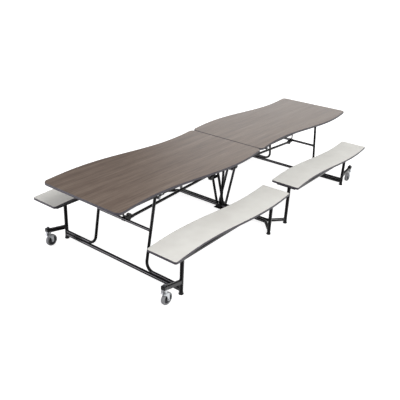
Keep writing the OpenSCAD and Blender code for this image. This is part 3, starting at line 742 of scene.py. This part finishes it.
both_halves("hat_straps", [strap_shell(x) for x in STRAP["places"]], "frame_black", "deck",
            "straps")
print("straps dressed, screws in a strap:", 2 * len(STRAP_SCREWS_Y))

# %% [markdown]
# The deck turns in nylon bearing blocks under its rails. A block is a half round with a
# foot, seen from the side, so its outline is drawn once and given its depth. The deck's
# bolts and screws are all one piece, because they share one body and one finish.

# %% Bearing blocks and the deck's fasteners
BLOCK = {"length": 0.070, "foot": 0.005, "radius": 0.015, "fillet": 0.003}
PIVOT_BOLT = (0.015, 0.007, 0.0115)


def block_shell(side, pivot):
    """A half round below the pivot, straight sides up from it and a foot along the rail."""
    radius, fillet, top = BLOCK["radius"], BLOCK["fillet"], RAIL_LOW - pivot[2]
    foot, half = top - BLOCK["foot"], BLOCK["length"] / 2
    side_view = np.concatenate([
        arc(0, 0, radius, 180, 360, 20),
        bent([(radius, 0), (radius, foot), (half, foot)], fillet)[1:],
        [(half, top), (-half, top)],
        bent([(-half, foot), (-radius, foot), (-radius, 0)], fillet)[:-1]])
    y, half_width = side * RAIL["y"], RAIL["width"] / 2
    return plate(side_view + pivot[[0, 2]], y - half_width, y + half_width, order=(0, 2, 1))


def pivot_bolt(side, pivot):
    """The bolt in the end of the pivot tube, on the block's outer face."""
    outer = side * (RAIL["y"] + RAIL["width"] / 2)
    return hexagon((pivot[0], outer, pivot[2]), (0, side, 0), *PIVOT_BOLT)


blocks, bolts = [], []
for side in (1, -1):
    for pivot in (END_PIVOT, HEAD_PIVOT):
        blocks.append(block_shell(side, pivot))
        bolts += pivot_bolt(side, pivot)
    bolts += rail_screws(side)
bolts += [screw for x in STRAP["places"] for screw in strap_screws(x)]
both_halves("bearing_blocks", blocks, "glide_black", "deck", "hangers")
both_halves("deck_fasteners", bolts, "zinc", "deck", sharp=40)
print("blocks dressed, fastener shells under one deck:", len(bolts))

# %% [markdown]
# A bench sits on two square tubes with plastic plugs in their ends. The tubes could be
# plain boxes, but a drawn tube has round corners, and these carry a thin line of light.

# %% Bench tubes
BENCH_RAIL = {"y": 0.112, "width": 0.020, "height": 0.019, "round": 0.0035,
              "outer": -1.622, "inner": -0.120}
PLUG = {"less": 0.001, "round": 0.003, "proud": 0.003, "edge": 0.001}


def bench_tube(y):
    """One square tube along the bench, and the two plugs that stand a little proud of it."""
    width, height = BENCH_RAIL["width"], BENCH_RAIL["height"]
    z = BENCH["low"] - height / 2
    tube = carried([(BENCH_RAIL["outer"], y, z), (BENCH_RAIL["inner"], y, z)],
                   rounded(width, height, BENCH_RAIL["round"]))
    face = rounded(width - PLUG["less"], height - PLUG["less"], PLUG["round"]) + [y, z]
    plugs = [plate(face, min(x, x + lift), max(x, x + lift), PLUG["edge"], (1, 2, 0))
             for x, lift in ((BENCH_RAIL["outer"], -PLUG["proud"]),
                             (BENCH_RAIL["inner"], PLUG["proud"]))]
    return tube, plugs


print("a bench tube has", len(bench_tube(0)[0][0]), "points")

# %% [markdown]
# Two cross plates are welded between the tubes, and from each hang two ears that turn on
# the pivot pin. Flat steel is an outline with depth, so both come from the same function.
# Screws go up through the plates and the tubes into the bench board.

# %% Bench brackets
CROSS = {"length": 0.060, "thick": 0.006, "round": 0.004, "screw_x": 0.021, "screw_y": 0.075}
EAR = {"radius": 0.020, "thick": 0.006, "inner": 0.0355}
BENCH_SCREWS = np.linspace(BENCH_RAIL["outer"] + 0.05, BENCH_RAIL["inner"] - 0.05, 5)


def bench_bracket(side, x):
    """A cross plate with its four screws, and an ear on each side of the post: a half round
    below the pivot with straight sides up to the plate."""
    middle, post_y, pivot_z = side * BENCH["middle"], side * POST_Y, BENCH_PIVOT[2]
    half = BENCH_RAIL["y"] - BENCH_RAIL["width"] / 2
    low = BENCH["low"] - CROSS["thick"]
    cross = rounded(CROSS["length"], 2 * half, CROSS["round"]) + [x, middle]
    shells = [plate(cross, low, BENCH["low"])]
    radius = EAR["radius"]
    ear = np.concatenate([arc(0, 0, radius, 180, 360, 20),
                          [(radius, low - pivot_z), (-radius, low - pivot_z)]])
    for s in (-1, 1):
        faces = sorted(post_y + s * (EAR["inner"] + depth) for depth in (0, EAR["thick"]))
        shells.append(plate(ear + [x, pivot_z], *faces, order=(0, 2, 1)))
    screws = [pan_head((x + s * CROSS["screw_x"], middle + t * CROSS["screw_y"], low), DOWN)
              for s in (-1, 1) for t in (-1, 1)]
    return shells, screws


def dress_bench(name, side, sign):
    """Two tubes, two brackets and the screws up through the tubes."""
    steel, plastic, screws = [], [], []
    rails_y = [side * BENCH["middle"] + s * BENCH_RAIL["y"] for s in (-1, 1)]
    for y in rails_y:
        tube, plugs = bench_tube(y)
        steel.append(tube)
        plastic += plugs
    for x in (POST_X, BENCH_FOLD_X):
        plates, fasteners = bench_bracket(side, x)
        steel += plates
        screws += fasteners
    screws += [pan_head((x, y, BENCH["low"] - BENCH_RAIL["height"]), DOWN)
               for x in BENCH_SCREWS for y in rails_y]
    make_piece(name + "_steel", turned(steel, sign), "frame_black", name,
               replaces=(name + "_frame",))
    make_piece(name + "_plugs", turned(plastic, sign), "glide_black", name)
    make_piece(name + "_screws", turned(screws, sign), "zinc", name, sharp=40)


for end, sign in ENDS:
    for side_name, side in SIDES:
        dress_bench(end + "_" + side_name + "_bench", side * sign, sign)
print("bench frames dressed, screws under a bench:", 8 + 2 * len(BENCH_SCREWS))

# %% [markdown]
# Each caster hangs on a square socket at the end of a short arm. A bolt goes up through
# the swivel and the socket into a nut on top, and a pressed housing holds the swivel's
# balls. The arm is a rolled bar that climbs a little, so it is a section carried along a
# line. The rest is turned or stamped, so it is made of profiles and outlines.

# %% Caster arms and stems
ARM = {"width": 0.026, "height": 0.0335, "round": 0.004, "low": 0.114, "rise": 0.036}
SOCKET = {"side": 0.040, "low": 0.145, "top": 0.172, "round": 0.005, "edge": 0.0015}
COLLAR = {"thick": 0.004, "round": 0.007}
# Profiles in millimetres: distance from the axis, height
KING_BOLT = [(0, 104), (9.5, 104), (9.8, 104.5), (9.8, 107.8), (6, 107.8), (6, 146), (0, 146)]
HOUSING = [(6, 141.5), (19.5, 141.5), (21.2, 140), (22.2, 135), (23, 131), (23, 122.5),
           (21.5, 120.4), (6, 120.4), (6, 141.5)]
THREAD_END = [(0, 0), (6, 0), (6, 13.5), (5, 15), (0, 15)]
STEM_NUT = (0.0185, 0.0115, 0.0145)


def arm_shells(side):
    """The arm from the post to the socket, and the socket."""
    y = side * STEM[1]
    path = [(POST_X, y, ARM["low"]), (STEM[0], y, ARM["low"] + ARM["rise"])]
    arm = carried(path, rounded(ARM["width"], ARM["height"], ARM["round"]))
    square = rounded(SOCKET["side"], SOCKET["side"], SOCKET["round"]) + [STEM[0], y]
    return [arm, plate(square, SOCKET["low"], SOCKET["top"], SOCKET["edge"])]


def stem_shells(side):
    """The bolt, a square collar under the socket and the swivel's housing."""
    place = (STEM[0], side * STEM[1], 0.0)
    square = rounded(SOCKET["side"], SOCKET["side"], COLLAR["round"]) + place[:2]
    return [lathe(mm(KING_BOLT), place, UPRIGHT, steps=24),
            plate(square, SOCKET["low"] - COLLAR["thick"], SOCKET["low"]),
            lathe(mm(HOUSING), place, UPRIGHT, steps=40)]


def nut_shells(side):
    """The nut on top of the socket, with the bolt's thread standing out of it."""
    place = (STEM[0], side * STEM[1], SOCKET["top"])
    return hexagon(place, UPRIGHT, *STEM_NUT) + [lathe(mm(THREAD_END), place, UPRIGHT, steps=20)]


both_halves("caster_outriggers", arm_shells(1) + arm_shells(-1), "frame_black", "end_frame",
            "caster_arms")
both_halves("swivel_stems", stem_shells(1) + stem_shells(-1), "zinc", "end_frame",
            "caster_stems")
both_halves("swivel_nuts", nut_shells(1) + nut_shells(-1), "zinc", "end_frame", finish=DULL)
print("caster arms dressed")

# %% [markdown]
# A yoke is one piece of stamped and zinc-plated sheet: a flat crown with two legs that
# taper to the axle. It is drawn as one strip that runs down one leg, over the crown and
# down the other, because that is how the sheet is bent. Its outline comes from two short
# tables of how far the front and the back edge stand out at each height.

# %% Yokes
YOKE = {"half": 0.0195, "wall": 0.003, "top": 0.1105, "bend": 0.006, "pad": 0.012,
        "knee": 0.012, "broken": 0.72, "margin": 0.04, "pad_from": 0.12}
SHEET_STEPS = 9
TRAIL = WHEEL[0] - STEM[0]
# In millimetres: height, and how far the edge lies from the stem
FRONT = [(51, 15), (68, 14.5), (80, 11.5), (90, 5), (98, -5), (104, -16), (109, -23)]
BACK = [(51, 39), (92, 38.5), (100, 36), (106, 30), (109, 23)]
# Profile in millimetres: distance from the axis, height
LOWER_CUP = [(6.2, 112), (21.5, 112), (23, 113.6), (23, 116.6), (21.5, 118.8), (6.2, 118.8),
             (6.2, 112)]
AXLE = {"half": 0.021, "radius": 0.0049}
AXLE_HEAD = (0.0145, 0.0062, 0.0088)


def yoke_sheet(side):
    """At a height z the sheet reaches from front(z) to back(z): the crown's half width at the
    top, tapering to the round pad on the axle, where the reach is the pad's circle."""
    half, top, pad_r = YOKE["half"], YOKE["top"], YOKE["pad"]
    knee = top - YOKE["knee"]
    down = WHEEL[2] - pad_r * np.cos(np.linspace(YOKE["pad_from"], np.pi / 2, 10))
    leg = np.concatenate([down, np.linspace(WHEEL[2], knee, 12)[1:]])
    crown = bent([(-half, knee), (-half, top), (half, top), (half, knee)], YOKE["bend"], 8)
    line = np.concatenate([np.stack([np.full_like(leg, -half), leg], -1), crown[1:-1],
                           np.stack([np.full_like(leg, half), leg[::-1]], -1)])
    z = line[:, 1]
    pad = np.sqrt(np.maximum(pad_r ** 2 - (z - WHEEL[2]) ** 2, 0))
    low, front_of, back_of = z < WHEEL[2], mm(FRONT).T, mm(BACK).T
    front = np.where(low, TRAIL - pad, np.interp(z, *front_of))
    back = np.where(low, TRAIL + pad, np.interp(z, *back_of))
    share = np.linspace(YOKE["margin"], 1 - YOKE["margin"], SHEET_STEPS)
    across = np.concatenate([share, [1, 1], share[::-1], [0, 0]])
    face, broken = np.ones(SHEET_STEPS), YOKE["broken"]
    depth = np.concatenate([face, [broken, -broken], -face, [-broken, broken]])
    points = np.empty((len(line), len(across), 3))
    points[..., 0] = STEM[0] + front[:, None] + (back - front)[:, None] * across
    points[..., 1:] = (line[:, None]
                       + line_normals(line)[:, None] * depth[None, :, None] * YOKE["wall"] / 2)
    points[..., 1] += side * STEM[1]
    return grid_shell(points, wrap_v=True, caps=True)


def yoke_shells(side):
    """The sheet, the lower half of the swivel, the axle and its two hexagon heads."""
    y, half, radius = side * STEM[1], AXLE["half"], AXLE["radius"]
    cup = lathe(mm(LOWER_CUP), (STEM[0], y, 0), UPRIGHT, steps=40)
    shaft = lathe([(0, -half), (radius, -half), (radius, half), (0, half)],
                  (WHEEL[0], y, WHEEL[2]), ACROSS, steps=24)
    shells = [yoke_sheet(side), cup, shaft]
    for s in (-1, 1):
        shells += hexagon((WHEEL[0], y + s * half, WHEEL[2]), (0, s, 0), *AXLE_HEAD)
    return shells


print("a yoke's shells:", len(yoke_shells(1)))

# %% [markdown]
# The wheel's hub is moulded plastic with six spokes that blend into the web, so its face is
# one height field of radius and angle; cutting the pockets out of a disc would leave hard
# edges that no mould has. The tread is a band of grey rubber with rounded shoulders and
# two fine grooves.

# %% Wheels
HUB = {"bore": 0.0052, "boss": 0.013, "rim": 0.033, "radius": 0.038, "edge": 0.0008,
       "web_h": 0.0045, "boss_h": 0.0150, "rim_h": 0.0105, "spoke_h": 0.0035,
       "spoke": 0.0022, "fade": 1.4, "blend": 0.002}
HUB_RINGS, HUB_TURNS, SPOKE_TURN = 34, 132, np.pi / 3
# Half of the tread's section in millimetres: distance from the axle, place along it
TREAD_SIDE = [(37.4, 12.5), (38.5, 14.6)]
TREAD_SHOULDER = (0.0445, 0.0085, 0.0062, 90, 10, 7)
TREAD_FACE = [(50.9, 6.8), (50.9, 5.8), (49.9, 5.3), (49.9, 4.7), (51, 4.2), (51, 0)]


def hub_shells(side):
    """The face's height is the web's, raised to the boss inside, to the rim outside and to each
    spoke between: a spoke's share fades with the distance r * sin(angle) from its middle."""
    bore, outer, edge, blend = HUB["bore"], HUB["radius"], HUB["edge"], HUB["blend"]
    radius = np.concatenate([[bore, bore], np.linspace(bore + edge, outer - edge, HUB_RINGS),
                             [outer, outer]])
    angle = np.linspace(0, 2 * np.pi, HUB_TURNS, endpoint=False)
    nearest = np.abs((angle + SPOKE_TURN / 2) % SPOKE_TURN - SPOKE_TURN / 2)
    r, away = np.meshgrid(radius, nearest)
    spoke = np.clip(HUB["fade"] - r * np.sin(away) / HUB["spoke"], 0, 1)
    boss = np.clip((HUB["boss"] + blend / 2 - r) / blend, 0, 1)
    rim = np.clip((r - HUB["rim"] + blend / 2) / blend, 0, 1)
    height = HUB["web_h"] + spoke * HUB["spoke_h"]
    height += (HUB["boss_h"] - height) * boss
    height += (HUB["rim_h"] - height) * rim
    height[:, [0, -1]] = 0.0
    height[:, [1, -2]] -= edge
    points = np.empty((2,) + r.shape + (3,))
    points[..., 0] = WHEEL[0] + r * np.cos(angle)[:, None]
    points[..., 1] = side * STEM[1] + np.array([1, -1])[:, None, None] * height
    points[..., 2] = WHEEL[2] + r * np.sin(angle)[:, None]
    return [grid_shell(face, wrap_u=True) for face in points]


def tread_shell(side):
    """Half of the profile climbs the side wall, rounds the shoulder and crosses the face with a
    groove; the other half mirrors it."""
    half = np.concatenate([mm(TREAD_SIDE), arc(*TREAD_SHOULDER), mm(TREAD_FACE)])
    profile = np.concatenate([half, half[-2::-1] * [1, -1], half[:1]])
    return lathe(profile, (WHEEL[0], side * STEM[1], WHEEL[2]), ACROSS, steps=72)


for end, sign in ENDS:
    for side_name, side in SIDES:
        stem, here = end + "_" + side_name, side * sign
        make_piece(stem + "_yoke", turned(yoke_shells(here), sign), "zinc", stem + "_fork",
                   replaces=(stem + "_fork",), sharp=40)
        make_piece(stem + "_hub", turned(hub_shells(here), sign), "hub_grey", stem + "_wheel",
                   replaces=(stem + "_wheel",), sharp=50)
        make_piece(stem + "_tread", turned([tread_shell(here)], sign), "tyre_grey",
                   stem + "_wheel", replaces=(stem + "_tyre",), sharp=50)
print("casters dressed")

# %% [markdown]
# A glide is a moulded nylon foot pushed into the end of a post. Its rim is rounded so that
# it slides, and a shallow ring shows where it meets the steel. The end posts are closed at
# the top by domed caps of the same plastic. Both are round, so both are turned profiles.

# %% Glides and caps
# Profiles in millimetres: distance from the axis, height
GLIDE_RIM = (0.0165, 0.0045, 0.0045, -90, 60, 8)
GLIDE_SHANK = [(17.2, 18.5), (17.2, 21.5), (16.6, 22.2), (13.6, 22.2), (13.6, 50), (0, 50)]
CAP_SKIRT = [(0, -4), (15.6, -4), (15.6, 0), (16.2, 0), (16.2, 1.2)]
CAP_DOME = (0.0, -0.0178, 0.0232, 44, 90, 6)


def glide_shell(x, y):
    """A flat sole, the rounded rim, the ring and the plug up inside the post."""
    foot = np.concatenate([mm([(0, 0), (16.5, 0)]), arc(*GLIDE_RIM), mm(GLIDE_SHANK)])
    return lathe(foot, (x, y, 0), UPRIGHT, steps=40)


def cap_shell(x, y):
    """A short plug, a lip on the post's end and a shallow dome."""
    return lathe(np.concatenate([mm(CAP_SKIRT), arc(*CAP_DOME)]), (x, y, POST_TOP), UPRIGHT)


end_posts = [(POST_X, side * POST_Y) for side in (1, -1)]
inner_posts = [(x, y) for x in (INNER_POST_X, -INNER_POST_X) for y in (POST_Y, -POST_Y)]
both_halves("nylon_glides", [glide_shell(x, y) for x, y in end_posts], "glide_black",
            "end_frame", "glides")
both_halves("post_caps", [cap_shell(x, y) for x, y in end_posts], "glide_black", "end_frame")
make_piece("centre_nylon_glides", [glide_shell(x, y) for x, y in inner_posts], "glide_black",
           "centre_frame", replaces=("centre_glides",))
print("glides dressed", len(end_posts) * 2 + len(inner_posts))

# %% [markdown]
# Every joint of the frame is welded before it is coated, so the beads are as black as the
# tubes. Where each pipe stands comes from the part's sizes. The beads could be modelled by
# eye on the CAD's tubes, but the formula puts them exactly on the line of contact.

# %% Welds on the frames
LEG_Y = 0.292
RUN_WELD_Y = 0.40
SLEEVE_HALF = 0.035
HEAD_LEG = (-0.10, 0.038, 0.25)
SWEEP, SWEEP_BACK = math.radians(49), 0.08
LEAN = unit(END_PIVOT - [POST_X, 0, RUN_Z])
HEAD_LEAN = unit(HEAD_PIVOT - [-0.017, 0, BASE_Z])
BAR_X = POST_X + (BAR_Z - RUN_Z) * LEAN[0] / LEAN[2]


def arm_weld(side):
    """The arm's outline laid on the post's round wall: x = post - sqrt(r^2 - y^2)."""
    section = rounded(ARM["width"], ARM["height"], ARM["round"], 8)
    x = POST_X - np.sqrt(POST_R ** 2 - section[:, 0] ** 2)
    z = ARM["low"] + ARM["rise"] * (POST_X - x) / (POST_X - STEM[0]) + section[:, 1]
    return weld(np.stack([x, side * STEM[1] + section[:, 0], z], -1), (1, 0, 0))


def end_welds(side):
    """The leg meets the pivot tube, the leg's foot and the base tube meet the post, the bar
    meets the leg, and the pivot sleeve meets both sides of the post."""
    foot = np.array([POST_X, side * LEG_Y, RUN_Z])
    at_bar = foot + LEAN * (BAR_Z - RUN_Z) / LEAN[2]
    post, outwards = (POST_X, side * POST_Y, 0), (0, side, 0)
    beads = [
        saddle(foot, LEAN, LEG_R, END_PIVOT, ACROSS, LEG_R),
        saddle((POST_X, side * RUN_WELD_Y, RUN_Z), outwards, LEG_R, post, UPRIGHT, POST_R),
        saddle((POST_X, 0, BASE_Z), outwards, BASE_R, post, UPRIGHT, POST_R),
        saddle((BAR_X, 0, BAR_Z), outwards, LEG_R, at_bar, LEAN, LEG_R)]
    for s in (1, -1):
        beads.append(saddle((POST_X, post[1] + s * SLEEVE_HALF, BENCH_PIVOT[2]), (0, -s, 0),
                            LEG_R, post, UPRIGHT, POST_R))
    return beads + [arm_weld(side)]


def centre_welds(side):
    """The legs meet the head tubes, and the swept ends of the base tubes meet the posts."""
    post = np.array([INNER_POST_X, side * POST_Y, 0])
    way = np.array([-math.sin(SWEEP), side * math.cos(SWEEP), 0])
    start = post + [0, 0, BASE_Z] - way * SWEEP_BACK
    return [saddle(np.multiply(HEAD_LEG, (1, side, 1)), HEAD_LEAN, LEG_R, HEAD_PIVOT, ACROSS,
                   LEG_R),
            saddle(start, way, BASE_R, post, UPRIGHT, POST_R)]


both_halves("end_welds", end_welds(1) + end_welds(-1), "frame_black", "end_frame", sharp=80)
inner = centre_welds(1) + centre_welds(-1)
make_piece("centre_welds", turned(inner, 1) + turned(inner, -1), "frame_black", "centre_frame",
           sharp=80)
print("welds laid")

# %% [markdown]
# The table stands on a white studio sweep. The floor is a plain pale surface that is
# mostly shown as white to the camera, so that it still holds the table's shadow. Glossy
# paint looks through it into the studio below the horizon, where a strip along the middle
# line is darkened as a painted shadow of the table.

# %% Floor
FLOOR_REACH, FLOOR_Z = 60.0, -0.0005
WHITE = (1, 1, 1, 1)


def studio_floor():
    """To the camera grey plus a glow of 0.85; to glossy rays clear, but darkened down to 0.15
    within 0.4 of the middle line as a painted shadow of the table; to all other rays a pale grey."""
    material, tree = bare_material("studio_floor")
    ray = add_node(tree, "ShaderNodeLightPath")
    plain = add_node(tree, "ShaderNodeBsdfDiffuse", Color=linear("#e0e0e0"))
    soft = add_node(tree, "ShaderNodeBsdfDiffuse", Color=linear("#cdcdcd"))
    glow = add_node(tree, "ShaderNodeEmission", Color=WHITE, Strength=0.85)
    shown = add_node(tree, "ShaderNodeAddShader", i0=soft, i1=glow)
    # A strip along the middle line is darkened for glossy rays: a painted shadow of the table.
    place = add_node(tree, "ShaderNodeTexCoord").outputs["Object"]
    across = add_node(tree, "ShaderNodeSeparateXYZ", Vector=place).outputs["Y"]
    away = add_node(tree, "ShaderNodeMath", {"operation": "ABSOLUTE"}, i0=across)
    painted_shadow = add_node(tree, "ShaderNodeMapRange", Value=away, From_Min=0.4, From_Max=0.8,
                     To_Min=0.15, To_Max=1.0)
    clear = add_node(tree, "ShaderNodeBsdfTransparent", Color=painted_shadow)
    lit = add_node(tree, "ShaderNodeMixShader", i0=ray.outputs["Is Glossy Ray"], i1=plain, i2=clear)
    mixed = add_node(tree, "ShaderNodeMixShader", i0=ray.outputs["Is Camera Ray"], i1=lit, i2=shown)
    add_node(tree, "ShaderNodeOutputMaterial", Surface=mixed)
    mesh = bpy.data.meshes.new("floor")
    corners = [(x * FLOOR_REACH, y * FLOOR_REACH, FLOOR_Z)
               for x, y in ((-1, -1), (1, -1), (1, 1), (-1, 1))]
    mesh.from_pydata(corners, [], [(0, 1, 2, 3)])
    mesh.materials.append(material)
    floor = bpy.data.objects.new("floor", mesh)
    bpy.context.scene.collection.objects.link(floor)


studio_floor()
print("floor laid")

# %% [markdown]
# The studio is a world that is white to the camera and plain for all soft light. What the
# gloss mirrors is drawn by direction: bright at the horizon, dim overhead, and below the
# horizon white on the far side and dark on the side of the room.

# %% Sky
FROM_ROOM = (0.78, 0.62, 0.0)


def sky():
    """Above, brightness falls from 1 to 0.22 between heights 0.05 and 0.30; below, it climbs
    from 0.1 to 1.3 as the way's share away from the room goes from -0.75 to -0.35."""
    world = bpy.data.worlds.new("studio")
    bpy.context.scene.world = world
    world.use_nodes = True
    tree = world.node_tree
    tree.nodes.clear()
    ray = add_node(tree, "ShaderNodeLightPath")
    way = add_node(tree, "ShaderNodeTexCoord").outputs["Generated"]
    height = add_node(tree, "ShaderNodeSeparateXYZ", Vector=way).outputs["Z"]
    above = add_node(tree, "ShaderNodeMapRange", Value=height, From_Min=0.05, From_Max=0.30,
                     To_Min=1.0, To_Max=0.22)
    share = add_node(tree, "ShaderNodeVectorMath", {"operation": "DOT_PRODUCT"}, i0=way,
                     i1=FROM_ROOM).outputs["Value"]
    below = add_node(tree, "ShaderNodeMapRange", Value=share, From_Min=-0.75, From_Max=-0.35,
                     To_Min=0.1, To_Max=1.3)
    sinks = add_node(tree, "ShaderNodeMath", {"operation": "LESS_THAN"}, i0=height, i1=0.0)
    mirrored = add_node(tree, "ShaderNodeMix", {"data_type": "FLOAT"}, Factor=sinks, A=above,
                        B=below)
    light, gloss, white = [add_node(tree, "ShaderNodeBackground", Color=WHITE, Strength=strength)
                           for strength in (0.52, mirrored, 1.05)]
    lit = add_node(tree, "ShaderNodeMixShader", i0=ray.outputs["Is Glossy Ray"], i1=light, i2=gloss)
    shown = add_node(tree, "ShaderNodeMixShader", i0=ray.outputs["Is Camera Ray"], i1=lit, i2=white)
    add_node(tree, "ShaderNodeOutputWorld", Surface=shown)
    print("world nodes", len(tree.nodes))


sky()

# %% [markdown]
# A wide soft lamp stands in front, a low one at the left draws the light lines on the
# tubes, and a panel beyond the far end brightens the far deck. Point lamps would give
# hard spots on the paint, so all three are discs.

# %% Lamps


def lamp(name, place, aim, size, power, colour="#ffffff"):
    """A disc that looks from its place to what it is aimed at."""
    data = bpy.data.lights.new(name, "AREA")
    data.shape, data.size, data.energy = "DISK", size, power
    data.color = linear(colour)[:3]
    lamp_object = bpy.data.objects.new(name, data)
    bpy.context.scene.collection.objects.link(lamp_object)
    lamp_object.location = place
    lamp_object.rotation_euler = (Vector(aim) - Vector(place)).to_track_quat("-Z", "Y").to_euler()
    lamp_object.visible_camera = False


lamp("key", (-1.5, -5.0, 6.0), (0, 0, 0.4), 4.0, 330)
lamp("left", (-5.0, 3.0, 1.1), (-0.5, 0, 0.4), 2.2, 90, "#f8f3ff")
lamp("end panel", (5.95, 3.15, 1.8), (0, 0, 0.7), 5.0, 74)
bpy.context.scene.view_settings.view_transform = "Standard"
print("studio lit")
